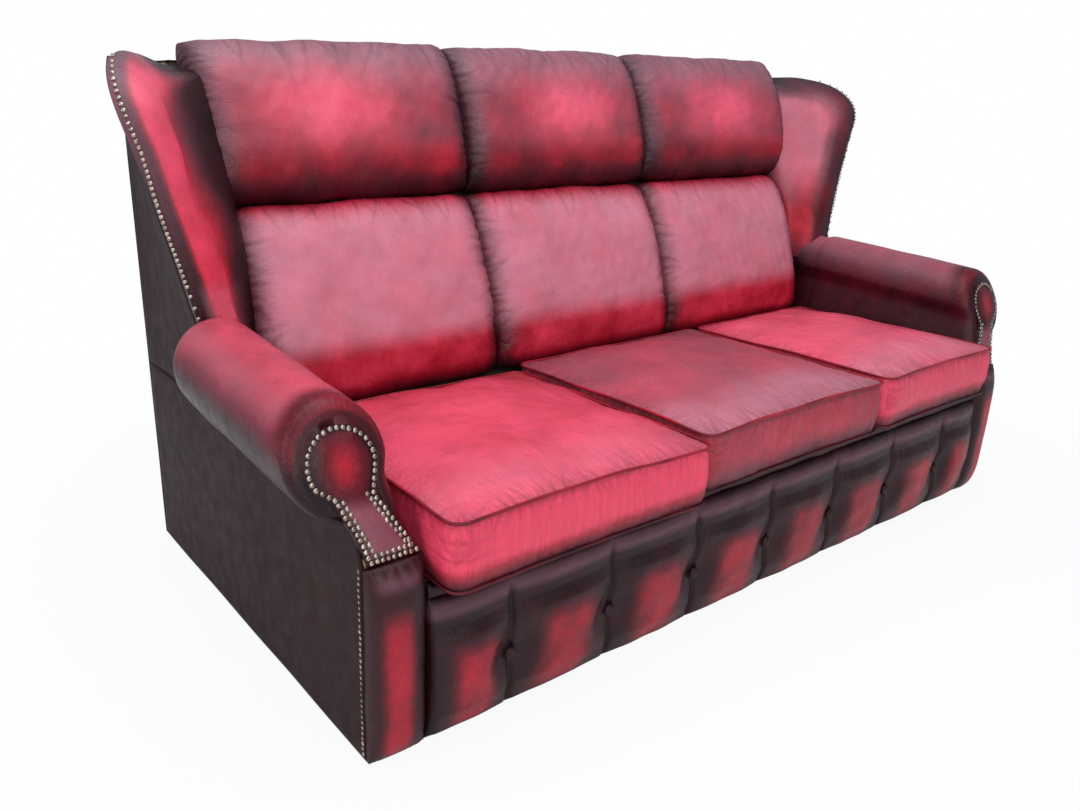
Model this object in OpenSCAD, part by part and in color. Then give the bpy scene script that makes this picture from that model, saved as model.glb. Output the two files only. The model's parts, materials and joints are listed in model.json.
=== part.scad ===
// A three-seat, high-backed wing sofa in antiqued leather: a timber frame with webbing,
// fixed head and lumbar pads, scroll arms, a fluted and buttoned front border,
// and three loose seat cushions that lift off.
// X runs along the width, Y towards the back, Z up from the floor.

/* [Overall] */
// Width over the outside arm panels, below the scrolls
base_w = 1804; // [1600:2:2000]
// Depth from the front of the forward cushion to the outside back
depth = 972; // [930:2:1040]
// Height of the glides under the frame
glide_h = 12; // [8:1:30]
// Height of the outside back above the bottom of the frame
back_h = 991; // [960:1:1020]

/* [Seat] */
// Width between the inside arms
seat_w = 1612; // [1420:2:1640]
// Height of a cushion's side between its two seams
boxing_h = 107; // [85:1:125]
// Rise of a seat cushion's crown above its top seam
cushion_crown = 34; // [10:1:45]
// Depth of a seat cushion, front to back
cushion_d = 538; // [480:2:560]
// How far the left cushion has slid forward
cushion_slip = 26; // [0:1:36]
// How far the seam right of the middle cushion has shifted
seam_shift = 66; // [0:1:90]
// How far the seam left of the middle cushion has shifted
left_seam_shift = 22; // [0:1:40]
// Corner radius of a seat cushion, seen from above
cushion_corner_r = 28; // [20:1:60]
// How far the sides of a seat cushion pull in between its corners
cushion_pull = 6; // [0:1:12]
// How far the cushion's sides belly out between the seams
boxing_belly = 6; // [0:1:8]
// Radius of the piping sewn into the cushion's seams
piping_r = 3.5; // [2:0.5:5]
// Thickness of the platform pad that the cushions lie on
deck_t = 28; // [15:1:34]
// Height of the leather lip between the border and the cushions
lip_h = 22; // [14:1:30]

/* [Front border] */
// Height of the fluted border
border_h = 250; // [220:2:300]
// Distance between two buttons
button_pitch = 218; // [180:2:230]
// Number of buttons
button_count = 7; // [3:2:7]
// Height of the buttons above the bottom of the frame
button_z = 107; // [90:1:125]
// Radius of a button
button_r = 11; // [8:1:14]
// Thickness of the border's padding at a pleat
pleat_t = 28; // [20:1:34]
// How far a flute swells beyond the pleats
flute_swell = 22; // [8:1:26]

/* [Arms] */
// Radius of the scroll along the top of an arm
roll_r = 80; // [66:1:84]
// Height of the scroll's centre above the bottom of the frame
roll_h = 464; // [450:2:510]
// How far the scroll's centre lies outside the outside arm panel
roll_over = 4; // [0:1:24]
// Rise of the scroll from its front to its back end
roll_rise = 39; // [0:1:44]
// Length of the scroll
roll_l = 474; // [440:1:490]
// Radius of the scroll's rounding at its back end
roll_end_r = 60; // [20:1:64]
// How far the arm fronts stand behind the forward cushion's front
arm_setback = 75; // [60:1:90]
// Lean of the arm fronts back from upright, in degrees
arm_lean = 19; // [0:1:24]
// Height of the padded post below the scroll
post_h = 323; // [300:1:350]
// How far the post's padding swells
post_swell = 28; // [10:1:36]
// Thickness of the inside arm's padding
arm_pad_t = 40; // [24:1:50]

/* [Back] */
// Rake of the back pads from upright, in degrees
rake = 19.4; // [14:0.2:20]
// Height of a lumbar pad along the rake
lumbar_h = 392; // [370:2:400]
// Thickness of a lumbar pad
lumbar_t = 92; // [70:1:100]
// Height of a head pad along the rake
head_h = 318; // [280:2:330]
// Thickness of a head pad
head_t = 106; // [80:1:120]
// Width of the row of head pads
head_row_w = 1680; // [1600:2:1690]

/* [Wings] */
// How far the wings rise above the outside back
wing_rise = 11; // [0:1:24]
// How far the wing's front edge flares outside the base
wing_flare = 110; // [60:1:120]
// Distance from the outside back to the wing's foremost edge
wing_reach = 374; // [350:2:400]
// Thickness of a wing's padding
wing_t = 62; // [52:1:64]

/* [Nails and panels] */
// Radius of a decorative nail's head
nail_r = 3.8; // [3:0.2:5.4]
// Distance between two nails
nail_pitch = 9.6; // [9:0.1:16]
// Thickness of the outside panels, leather on board
panel_t = 4; // [2:0.5:6]
// Thickness of the frame's boards
timber_t = 25; // [20:1:28]

/* [Hidden] */
$fn = 64;

// Running clearance between pieces that lie against each other
fit = 0.3;
// Overrun of the cuts
over = 5;

// Planes of the whole
half_base = base_w / 2;
half_seat = seat_w / 2;
arm_box = half_base - half_seat;
front_y = -depth / 2;
back_y = depth / 2;
base_z = glide_h;

// Dust cloth and the timber above it
cloth_t = 1.5;
timber_z = base_z + cloth_t + fit;

// Heights in the seat, from the deck down
border_top = base_z + border_h;
deck_top = border_top + lip_h;
webbing_t = 2;
webbing_w = 50;
rail_top = deck_top - deck_t - 2 * webbing_t - 2 * fit;
seat_rail_h = 60;
side_rail_h = 27;
base_rail_h = 60;

// Depth positions of the arm fronts
facing_t = 6.5;
arm_front_y = front_y + arm_setback;
post_y0 = arm_front_y + facing_t + fit;
post_y1 = post_y0 + timber_t;
board_t = 9;
board_y1 = post_y0 + board_t + fit;
post_x0 = half_seat + arm_box / 16;
post_top = base_z + post_h;

// Scroll of the arm, whose front leans back with the facing, about the facing's foot
roll_x = half_base + roll_over;
roll_z = base_z + roll_h;
facing_foot = post_top + roll_r / 24;
lean_foot_z = facing_foot + facing_t / 3;
lean_roll_z = facing_foot + (roll_z - facing_foot) / cos(arm_lean);
roll_tilt = atan(roll_rise / roll_l);
roll_front_y = arm_front_y + (roll_z - facing_foot) * tan(arm_lean);
roll_y1 = roll_front_y + roll_l;
front_slope = tan(arm_lean + roll_tilt);
rim_r = 22;
arm_rail_w = 50;
arm_rail_x0 = -0.675 * roll_r;
arm_rail_x1 = -0.22 * roll_r;

// Seat cushions
cushion_gap = 3;
seam_low = 8;
seam_high = seam_low + boxing_h;
seat_pitch = seat_w / 3;
seams = [-half_seat, left_seam_shift - seat_pitch / 2, seat_pitch / 2 + seam_shift, half_seat];
cushion_inset = cushion_gap / 2 + 2 * piping_r + fit;
crown_power = 3;
corner_steps = 3;
side_steps = 5;
crown_ring_shares = [0.93, 0.78, 0.5];
foam_wall = 25;
foam_floor = 12;

// Back pads: their front swell beyond the mid plane, and the flatter back of them
pad_front_share = 0.74;
lumbar_mid = 22;
pad_back_n = lumbar_t * (1 - pad_front_share) + lumbar_mid;
lumbar_foot = -30;
pad_power = 2.4;
pad_turns = 20;
pad_end_shares = [-1, -0.96, -0.82, -0.45, 0, 0.45, 0.82, 0.96, 1];
pad_end_depth_shares = [0.5, 0.74, 0.92, 1, 1, 1, 0.92, 0.74, 0.5];
pad_end_height_shares = [0.95, 0.985, 1, 1, 1, 1, 1, 0.985, 0.95];
lumbar_top = lumbar_foot + lumbar_h;
head_foot = lumbar_top + fit;
pad_seam = seat_pitch / 2;
pad_gap = 2;
pads_above_seam = 14;

// The foremost place of a lumbar pad, before the rake's own place is known
function lumbar_front(t) = let (p = pad_point(t, lumbar_foot, lumbar_h, lumbar_t, lumbar_mid))
    -(p[0] * cos(rake) + p[1] * sin(rake));
lumbar_reach = max([for (k = [0:2 * pad_turns]) lumbar_front(180 * k / pad_turns)]);
rake_z = deck_top + seam_high + pads_above_seam;

// Layers behind the pads, counted back from the pads' plane
lining_t = 2;
lining_y = pad_back_n + fit;
back_web_y = lining_y + lining_t + fit;
stile_y = back_web_y + webbing_t + fit;
stile_w = 45;
stile_inset = 46;
stile_x = [stile_inset - half_seat, -pad_seam, pad_seam, half_seat - stile_inset];
stile_foot = -(rake_z - rail_top - fit - (stile_y + timber_t) * sin(rake)) / cos(rake);
top_rail_z = base_z + back_h - panel_t - fit;
stile_head = (top_rail_z - rake_z + lining_y * sin(rake)) / cos(rake);
lining_wide_from = 215;
lining_foot = -125;
back_post_w = 49;
back_post_d = 70;
back_post_x1 = half_base - panel_t - fit;
back_post_x0 = back_post_x1 - back_post_w;
back_post_y1 = back_y - panel_t - fit;
back_post_y0 = back_post_y1 - back_post_d;

// The back stands forward of the outside back by the top board, and the cushions lie against it
top_board_d = 98;
stile_back_y = back_post_y1 - top_board_d - fit;
rake_y = stile_back_y - (stile_y + timber_t) * cos(rake) - stile_head * sin(rake);
cushion_back_y = rake_y - fit - lumbar_reach;

// Wings
wing_top = base_z + back_h + wing_rise;
wing_front = back_y - wing_reach;
wing_shoulder_h = 124;
wing_turn = wing_top - wing_shoulder_h;
wing_foot = roll_z + roll_r + roll_rise + fit;
wing_sweep = 18;
wing_round = 190;
wing_back = back_post_y0 - 4 * fit;
wing_seam_drop = 61;
wing_seam_z = roll_z - wing_seam_drop;
wing_border = 30;
wing_stile_w = 20;
wing_stile_d = 45;
wing_stile_y = roll_y1 + 2.75 * wing_stile_w;
wing_stile_rise = 30;
wing_stile_gap = 3;
wing_pad_gap = 4;

// Nails stand on the panels, and their heads are caps of a sphere
nail_h = nail_r * 0.55;

function bump(s, power) = 1 - pow(min(1, abs(s)), power);
function signed_power(v, power) = sign(v) * pow(abs(v), power);
function ease(s) = let (c = max(0, min(1, s))) c * c * (3 - 2 * c);

// A closed form from rings of equal length, with a fan on each end
module skin(rings) {
    n = len(rings[0]);
    m = len(rings);
    middle = function (ring) [for (k = [0:2]) ([for (p = ring) 1] * [for (p = ring) p[k]]) / n];
    points = concat([for (ring = rings) each ring], [middle(rings[0]), middle(rings[m - 1])]);
    sides = [for (i = [0:m - 2], j = [0:n - 1])
        let (a = i * n + j, b = i * n + (j + 1) % n) each [[a, b + n, b], [a, a + n, b + n]]];
    low = [for (j = [0:n - 1]) [m * n, j, (j + 1) % n]];
    high = [for (j = [0:n - 1]) [m * n + 1, (m - 1) * n + (j + 1) % n, (m - 1) * n + j]];
    polyhedron(points, concat(sides, low, high), convexity = 6);
}

// A thin closed sheet from rings that run up one face and back down the other
module sheet_skin(rings) {
    n = len(rings[0]);
    m = len(rings);
    half = n / 2;
    points = [for (ring = rings) each ring];
    sides = [for (i = [0:m - 2], j = [0:n - 1])
        let (a = i * n + j, b = i * n + (j + 1) % n) each [[a, b + n, b], [a, a + n, b + n]]];
    low = [for (j = [0:half - 2]) each [[j, j + 1, n - 1 - j], [j + 1, n - 2 - j, n - 1 - j]]];
    top = (m - 1) * n;
    high = [for (f = low) [for (k = [2:-1:0]) top + f[k]]];
    polyhedron(points, concat(sides, low, high), convexity = 6);
}

module block(low, high) {
    translate(low) cube(high - low);
}

module left_side() {
    mirror([1, 0, 0]) children();
}

// An outline drawn in X and Z, extruded back along Y from y0 to y1
module along_y(y0, y1) {
    translate([0, y1, 0]) rotate([90, 0, 0]) linear_extrude(y1 - y0) children();
}

// Places a piece in the plane of the back: X across, -Y out of the pads, Z up the rake
module on_rake() {
    translate([0, rake_y, rake_z]) rotate([-rake, 0, 0]) children();
}

// Frame

// The side seat rails reach in under the seat, and the front and back seat rails lie between them
side_rail_x0 = half_seat - arm_box / 6;

module front_base_rail() {
    color("burlywood")
        block([-post_x0 + fit, board_y1, timber_z],
              [post_x0 - fit, board_y1 + timber_t, timber_z + base_rail_h]);
}

module front_seat_rail() {
    color("burlywood")
        block([-side_rail_x0 + fit, board_y1, rail_top - seat_rail_h],
              [side_rail_x0 - fit, board_y1 + 2 * timber_t, rail_top]);
}

module front_board() {
    color("tan")
        block([-post_x0 + fit, post_y0, timber_z], [post_x0 - fit, post_y0 + board_t, rail_top]);
}

module back_base_rail() {
    color("burlywood")
        block([-back_post_x0 + fit, back_post_y1 - timber_t, timber_z],
              [back_post_x0 - fit, back_post_y1, timber_z + base_rail_h]);
}

// The back seat rail lies under the feet of the raked stiles
back_seat_y1 = rake_y + (stile_y + timber_t) * cos(rake) + stile_foot * sin(rake) + timber_t / 4;
back_seat_y0 = back_seat_y1 - 2 * timber_t;

module back_seat_rail() {
    color("burlywood")
        block([-side_rail_x0 + fit, back_seat_y0, rail_top - seat_rail_h],
              [side_rail_x0 - fit, back_seat_y1, rail_top]);
}

module side_base_rail() {
    color("burlywood")
        block([back_post_x1 - timber_t, post_y1 + fit, timber_z],
              [back_post_x1, back_post_y0 - fit, timber_z + base_rail_h]);
}

module side_seat_rail() {
    color("burlywood")
        block([side_rail_x0, post_y1 + fit, rail_top - side_rail_h],
              [back_post_x1, back_post_y0 - fit, rail_top]);
}

module seat_cross_rails() {
    color("burlywood")
        for (x = [-pad_seam, pad_seam])
            block([x - stile_w / 2, board_y1 + 2 * timber_t + fit, rail_top - seat_rail_h],
                  [x + stile_w / 2, back_seat_y0 - fit, rail_top - timber_t]);
}

// Triangular blocks glued into the corners of the base
block_leg = 70;
module corner_block() {
    linear_extrude(base_rail_h)
        polygon([[0, 0], [block_leg, 0], [0, block_leg]]);
}

module corner_blocks() {
    front_in = board_y1 + timber_t + fit;
    back_in = back_post_y1 - timber_t - fit;
    side_in = back_post_x1 - timber_t - fit;
    color("burlywood")
        for (side = [0, 1]) mirror([side, 0, 0]) {
            translate([side_in, front_in, timber_z]) mirror([1, 0, 0]) corner_block();
            translate([back_post_x0 - fit, back_in, timber_z]) mirror([1, 0, 0]) mirror([0, 1, 0])
                corner_block();
        }
}

// Leans a piece of the arm front back about the facing's foot
module on_lean() {
    translate([0, arm_front_y, facing_foot]) rotate([-arm_lean, 0, 0])
        translate([0, -arm_front_y, -facing_foot]) children();
}

// The scroll board at the front of an arm carries the facing and the arm rail
board_ring_r = roll_r * 0.65;
module post_head_outline(grow) {
    translate([roll_x, lean_roll_z]) circle(board_ring_r + grow);
    polygon([
        [post_x0 - grow, lean_foot_z - grow],
        [back_post_x1 + grow, lean_foot_z - grow],
        [back_post_x1 + grow, lean_roll_z - roll_r * 0.9],
        [roll_x + board_ring_r * 0.5, lean_roll_z - board_ring_r * 0.866],
        [roll_x - board_ring_r, lean_roll_z],
        [post_x0 + arm_box * 0.45 - grow, lean_roll_z - roll_r * 0.5],
        [post_x0 + arm_box * 0.2 - grow, post_top + roll_r * 0.3]
    ]);
}

module post_form(grow) {
    block([post_x0 - grow, post_y0 - grow, timber_z - grow],
          [back_post_x1 + grow, post_y1 + grow, post_top + grow]);
    on_lean() along_y(post_y0 - grow, post_y1 + grow) post_head_outline(grow);
}

module arm_post() {
    color("tan") post_form(0);
}

// Everything along the scroll shares its tilt
module on_roll() {
    translate([roll_x, roll_front_y, roll_z]) rotate([roll_tilt, 0, 0]) children();
}

rail_start = (facing_t + timber_t / 2) / cos(arm_lean + roll_tilt);
rail_end = (wing_stile_y - 2 * fit - roll_front_y) / cos(roll_tilt) - roll_rise / 8;

// The rail's front end is cut to the lean of the scroll board
module arm_rail() {
    color("burlywood") difference() {
        on_roll() block([arm_rail_x0, rail_start, -arm_rail_w / 2],
                        [arm_rail_x1, rail_end, arm_rail_w / 2]);
        on_lean() block([roll_x - roll_r, arm_front_y, post_top],
                        [roll_x, post_y1 + 2 * fit, roll_z + 2 * roll_r]);
    }
}

module back_post() {
    color("burlywood")
        block([back_post_x0, back_post_y0, timber_z], [back_post_x1, back_post_y1, top_rail_z]);
}

module back_stiles() {
    color("burlywood")
        on_rake()
            for (x = stile_x)
                block([x - stile_w / 2, stile_y, stile_foot],
                      [x + stile_w / 2, stile_y + timber_t, stile_head]);
}

module lumbar_rail() {
    color("burlywood")
        on_rake()
            block([-back_post_x0 + fit, stile_y + timber_t + fit, lumbar_top - seat_rail_h / 2],
                  [back_post_x0 - fit, stile_y + 2 * timber_t + fit, lumbar_top + seat_rail_h / 2]);
}

module top_board() {
    color("burlywood")
        block([-back_post_x0 + fit, stile_back_y + fit, top_rail_z - timber_t],
              [back_post_x0 - fit, back_post_y1, top_rail_z]);
}

// The stile inside a wing leans out with the wing's flare
wing_stile_flare = wing_flare * pow((back_y - wing_stile_y - wing_stile_d) / wing_reach, 1.3);
wing_lean = atan(0.6 * wing_stile_flare / (wing_turn - wing_seam_z));
wing_lean_x0 = half_base - panel_t - wing_stile_gap - wing_stile_w / 2 / cos(wing_lean)
    - (wing_seam_z - rail_top) * tan(wing_lean);
wing_stile_l = (wing_turn + wing_stile_rise - rail_top) / cos(wing_lean);
module wing_stile_shape(grow) {
    translate([wing_lean_x0, wing_stile_y, rail_top + 5 * fit]) rotate([0, wing_lean, 0])
        block([-wing_stile_w / 2 - grow, -grow, 0],
              [wing_stile_w / 2 + grow, wing_stile_d + grow, wing_stile_l + grow]);
}

module wing_stile() {
    color("burlywood") wing_stile_shape(0);
}

// Suspension and linings

long_straps = 9;
cross_straps = 4;
strap_margin = 100;
module seat_webbing() {
    strap_pitch = (seat_w - webbing_w - 2 * strap_margin) / (long_straps - 1);
    y0 = board_y1 + timber_t / 2;
    y1 = back_seat_y1 - timber_t / 2;
    color("darkkhaki") {
        for (k = [0:long_straps - 1])
            translate([(k - (long_straps - 1) / 2) * strap_pitch, 0, 0])
                block([-webbing_w / 2, y0, rail_top + fit / 2],
                      [webbing_w / 2, y1, rail_top + fit / 2 + webbing_t]);
        for (k = [0:cross_straps - 1])
            translate([0, y0 + (k + 0.5) * (back_seat_y0 - y0) / cross_straps, 0])
                block([-half_seat + fit, -webbing_w / 2, rail_top + fit + webbing_t],
                      [half_seat - fit, webbing_w / 2, rail_top + fit + 2 * webbing_t]);
    }
}

back_straps = 7;
module back_webbing() {
    span = stile_head - stile_foot - 3 * webbing_w;
    reach = stile_x[3] + stile_w / 2;
    color("darkkhaki")
        on_rake()
            for (k = [0:back_straps - 1])
                translate([0, 0, stile_foot + 1.5 * webbing_w + k * span / (back_straps - 1)])
                    block([-reach, back_web_y, -webbing_w / 2],
                          [reach, back_web_y + webbing_t, webbing_w / 2]);
}

// The lining behind the pads widens above the arms
module back_lining() {
    color("#2b1214")
        on_rake() {
            block([-half_seat + fit, lining_y, lining_foot],
                  [half_seat - fit, lining_y + lining_t, stile_head]);
            block([-back_post_x0 + 3 * fit, lining_y, lining_wide_from],
                  [back_post_x0 - 3 * fit, lining_y + lining_t, stile_head]);
        }
}

module seat_deck() {
    deck_y1 = rake_y + lining_y * cos(rake) + lining_foot * sin(rake) - 2 * lining_t;
    color("#3a2a26")
        block([-half_seat + 2 * fit, post_y0, deck_top - deck_t],
              [half_seat - 2 * fit, deck_y1, deck_top]);
}

// A small padded roll of leather along the front edge of the deck
module deck_lip() {
    r = (lip_h - fit) / 2;
    color("#3a1014")
        translate([-half_seat + 2 * fit, 0, 0]) rotate([90, 0, 90])
            linear_extrude(seat_w - 4 * fit) translate([post_y0 - fit, border_top + fit]) {
                translate([-r, r]) circle(r);
                translate([-r, 0]) square([r, 2 * r]);
            }
}

module dust_cloth() {
    color("#1c1c1c")
        block([-back_post_x1, post_y0, base_z], [back_post_x1, back_post_y1, base_z + cloth_t]);
}

glide_r = 18;
module glides() {
    inset = 2.5 * glide_r;
    ys = [post_y0 + inset, back_post_y1 - inset];
    xs = [-half_base + inset, 0, half_base - inset];
    color("#222222")
        for (x = xs, y = ys) translate([x, y, 0]) cylinder(r = glide_r, h = glide_h);
}

// Outside panels

module outside_back() {
    top = base_z + back_h;
    pads_y = rake_y + (pad_back_n + 2 * fit) * cos(rake)
        + ((top - rake_z) / cos(rake) + pad_back_n * tan(rake)) * sin(rake);
    color("#3b2426") {
        block([-half_base, back_y - panel_t, base_z], [half_base, back_y, top]);
        block([-back_post_x0 + fit, pads_y + 2 * lining_t, top - panel_t], [back_post_x0 - fit, back_y, top]);
        block([-back_post_x1, back_post_y0 - fit, top - panel_t], [back_post_x1, back_y, top]);
    }
}

// The panel's top edge follows the underside of the scroll
under_roll = sqrt(pow(roll_r, 2) - pow(roll_over, 2));
function roll_under_z(y) =
    roll_z - under_roll / cos(roll_tilt) + (y - roll_front_y) * tan(roll_tilt) - 4 * fit;
function lean_y(z) = arm_front_y + (facing_t + fit) / cos(arm_lean) + (z - facing_foot) * tan(arm_lean);
module outside_arm() {
    corner_y = lean_y(roll_z - roll_r);
    color("#3b2426")
        translate([half_base - panel_t, 0, 0]) rotate([90, 0, 90]) linear_extrude(panel_t)
            polygon([
                [post_y0, base_z],
                [back_y - panel_t - fit, base_z],
                [back_y - panel_t - fit, wing_seam_z],
                [roll_y1 + fit, wing_seam_z],
                [roll_y1, roll_under_z(roll_y1)],
                [corner_y, roll_under_z(corner_y)],
                [lean_y(facing_foot) + fit, facing_foot],
                [post_y0, facing_foot - fit]
            ]);
}

// Wings

// The wing's front edge at a height: a slow sweep forward to the foot, then a quarter ellipse to the top
function wing_edge(z) = z <= wing_turn
    ? wing_front - wing_sweep * pow((wing_turn - z) / (wing_turn - wing_foot), 1.5)
    : wing_front + wing_round * (1 - sqrt(max(0, 1 - pow((z - wing_turn) / (wing_top - wing_turn), 2))));

// The wing's outer face at a depth and a height
function wing_out(y, z) = half_base + wing_flare
    * pow(max(0, (z - wing_seam_z) / (wing_turn - wing_seam_z)), 1.5)
    * pow(max(0, (back_y - y) / wing_reach), 1.3);

sheet_row_shares = [0, 0.16, 0.314, 0.42, 0.55, 0.68, 0.8, 0.88, 0.94, 0.98];
sheet_columns = 5;
function sheet_front(z) = z < wing_foot - fit ? roll_y1 + fit : wing_edge(z) + wing_border;
function sheet_y(z, s) = sheet_front(z) + (back_y - panel_t - fit - sheet_front(z)) * s;
module outside_wing() {
    z0 = wing_seam_z + fit;
    rings = [for (s = sheet_row_shares) let (z = z0 + (wing_top - z0) * s) concat(
        [for (c = [0:sheet_columns]) let (y = sheet_y(z, c / sheet_columns))
            [wing_out(y, z), y, z]],
        [for (c = [sheet_columns:-1:0]) let (y = sheet_y(z, c / sheet_columns))
            [wing_out(y, z) - panel_t, y, z]])];
    color("#3b2426") sheet_skin(rings);
}

// The wing's outline, seen from the side, and the padded form inside it
wing_mid = [(wing_front + wing_back) / 2, (wing_foot + wing_top) / 2];
wing_edge_rows = 5;
wing_round_steps = 6;
function wing_outline() = concat(
    [for (k = [0:3]) [wing_edge(wing_foot) + (wing_back - wing_edge(wing_foot)) * k / 3, wing_foot]],
    [for (k = [1:3]) [wing_back, wing_foot + (wing_top - wing_foot) * k / 3]],
    [[wing_front + wing_round + (wing_back - wing_front - wing_round) / 2, wing_top]],
    [for (k = [0:wing_round_steps]) let (a = 90 * (1 - k / wing_round_steps))
        [wing_front + wing_round * (1 - cos(a)), wing_turn + (wing_top - wing_turn) * sin(a)]],
    [for (k = [1:wing_edge_rows]) let (z = wing_turn - (wing_turn - wing_foot) * k / (wing_edge_rows + 1))
        [wing_edge(z), z]]);

// Each ring is the outline drawn in by a share, at a share of the thickness from the outer face
wing_ring_shares = [0.5, 0.8, 0.93, 1, 0.97, 0.86, 0.5];
wing_depth_shares = [1, 1.06, 0.98, 0.5, 0.04, 0, 0];
module wing_form() {
    rings = [for (k = [0:len(wing_ring_shares) - 1]) [for (p = wing_outline()) let (
        s = wing_ring_shares[k],
        y = wing_mid[0] + (p[0] - wing_mid[0]) * s,
        z = wing_mid[1] + (p[1] - wing_mid[1]) * s)
        [wing_out(y, z) - panel_t - wing_pad_gap - wing_t * wing_depth_shares[k], y, z]]];
    skin(rings);
}

module wing_pad() {
    color("#5a141a") difference() {
        wing_form();
        wing_stile_shape(2 * fit);
    }
}

// Arms

// Outline of the arm front, below the scroll, with its drawn-in neck
neck_shares = [[0.18, 0.38], [0.34, 0.82], [0.42, 1]];
module neck_outline() {
    h = lean_roll_z - post_top;
    x1 = half_seat + arm_box * facing_outer_shares[0][0];
    polygon(concat(
        [[x1, lean_foot_z], [x1, lean_roll_z - roll_r * 0.5], [roll_x, lean_roll_z]],
        [for (k = [2:-1:0]) [half_seat + arm_box * neck_shares[k][0], post_top + h * neck_shares[k][1]]],
        [[half_seat, lean_foot_z]]));
}

// The keyhole-shaped facing: a disc on a tapering neck
facing_r = roll_r * 0.69;
facing_inner_shares = [[0.07, 0], [0.32, 0.33], [0.6, 0.68]];
facing_outer_shares = [[0.92, 0], [1.06, 0.33], [1.3, 0.68]];
function facing_side(shares) = [for (s = shares)
    [half_seat + arm_box * s[0], facing_foot + (lean_roll_z - facing_foot) * s[1]]];
facing_arc = [-40, 185];
facing_arc_steps = 36;
function facing_arc_point(a, r) = [roll_x + r * cos(a), lean_roll_z + r * sin(a)];
module facing_outline(grow) {
    inner = facing_side(facing_inner_shares);
    outer = facing_side(facing_outer_shares);
    polygon(concat(
        [for (k = [0:2]) outer[k] + [grow, k == 0 ? -grow : 0]],
        [for (k = [0:facing_arc_steps]) facing_arc_point(
            facing_arc[0] + (facing_arc[1] - facing_arc[0]) * k / facing_arc_steps, facing_r + grow)],
        [for (k = [2:-1:0]) inner[k] - [grow, k == 0 ? grow : 0]]));
}

module arm_facing() {
    color("#8c1520") on_lean() along_y(arm_front_y, arm_front_y + facing_t) facing_outline(0);
}

// The scroll's front end: rings in the plane of the facing, with a soft rim
rim_sides = 24;
rim_shares = [[1, 0], [0.29, 0.29], [0, 1]];
rim_end = roll_r * front_slope + 1.3 * rim_r;
function rim_ring(r, slope, y) = [for (k = [0:rim_sides - 1])
    let (a = -360 * k / rim_sides) [r * cos(a), y + slope * r * sin(a), r * sin(a)]];

// The scroll is a round bar with that front end, and a rounded back end
module roll_form() {
    l = roll_l / cos(roll_tilt) - roll_r * sin(roll_tilt);
    on_roll() {
        skin(concat(
            [for (s = rim_shares) rim_ring(roll_r - rim_r * s[0], front_slope, rim_r * s[1])],
            [rim_ring(roll_r - fit, 0, rim_end + over)]));
        rotate([-90, 0, 0]) rotate_extrude() {
            translate([0, rim_end]) square([roll_r, l - rim_end - roll_end_r]);
            translate([0, rim_end]) square([roll_r - roll_end_r, l - rim_end]);
            intersection() {
                translate([roll_r - roll_end_r, l - roll_end_r]) circle(roll_end_r);
                square([roll_r, l]);
            }
        }
    }
}

// Behind the wing's foot only the inner side of the scroll goes on, as far as the pads
module roll_inner(y1) {
    on_roll() rotate([-90, 0, 0]) translate([0, 0, roll_l - 2 * roll_end_r])
        cylinder(r = roll_r - fit, h = y1 - roll_y1 + 2 * roll_end_r);
}

// The inside arm runs up from the seat rail and meets the scroll along the neck's own curve
module inner_face_outline() {
    h = roll_z - post_top;
    polygon(concat(
        [[half_seat + arm_pad_t, rail_top + fit]],
        [for (k = [2:-1:0]) [half_seat + arm_box * neck_shares[k][0], post_top + h * neck_shares[k][1]]],
        [[half_seat, post_top], [half_seat, rail_top + fit]]));
}

inner_wall_t = 20;
module arm_cover() {
    wall_y1 = rake_y + (back_y - rake_y) / 2;
    wall_x0 = half_seat + arm_box / 4;
    color("#6b1219") difference() {
        union() {
            roll_form();
            difference() {
                roll_inner(wall_y1);
                block([roll_x + arm_rail_x0, arm_front_y, roll_z - 2 * roll_r],
                      [roll_x + 2 * roll_r, back_y, roll_z + 3 * roll_r]);
            }
            on_lean() along_y(arm_front_y + rim_r / 4, post_y1) neck_outline();
            difference() {
                along_y(post_y1 - over, wall_y1) inner_face_outline();
                on_lean() block([half_seat - over, arm_front_y - roll_r, post_top],
                                [half_base, arm_front_y + rim_r / 4, roll_z + 2 * roll_r]);
            }
            block([wall_x0, roll_y1 - over, rail_top + fit],
                  [wall_x0 + inner_wall_t, wall_y1, wing_foot - 4 * fit]);
        }
        on_lean() along_y(arm_front_y - roll_r, post_y0) facing_outline(fit);
        post_form(fit);
        on_roll() block([arm_rail_x0 - fit, rail_start, -arm_rail_w / 2 - fit],
                        [arm_rail_x1 + fit, rail_end + over, arm_rail_w / 2 + fit]);
        block([half_base - panel_t - fit, post_y0 - fit, base_z],
              [half_base + fit, roll_y1 + over, roll_z - roll_r]);
    }
}

// Padded panels at the front: rings that run across the panel, each a profile in Y and Z

post_edge_t = 8;
post_column_shares = [-1, -0.94, -0.75, -0.4, 0, 0.4, 0.75, 0.94, 1];
post_row_shares = [1, 0.985, 0.94, 0.84, 0.6, 0.35, 0.14, 0.04, 0];
module post_pad() {
    back = post_y0 - fit;
    rings = [for (s = post_column_shares)
        let (x = half_seat + arm_box / 2 + s * arm_box / 2)
        concat([[x, back, base_z], [x, back, post_top]],
            [for (r = post_row_shares) [x,
                back - post_edge_t - post_swell * pow(bump(s, 3), 0.6) * pow(bump(2 * r - 1, 5), 0.6),
                base_z + post_h * r]])];
    color("#5a141a") skin(rings);
}

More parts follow.
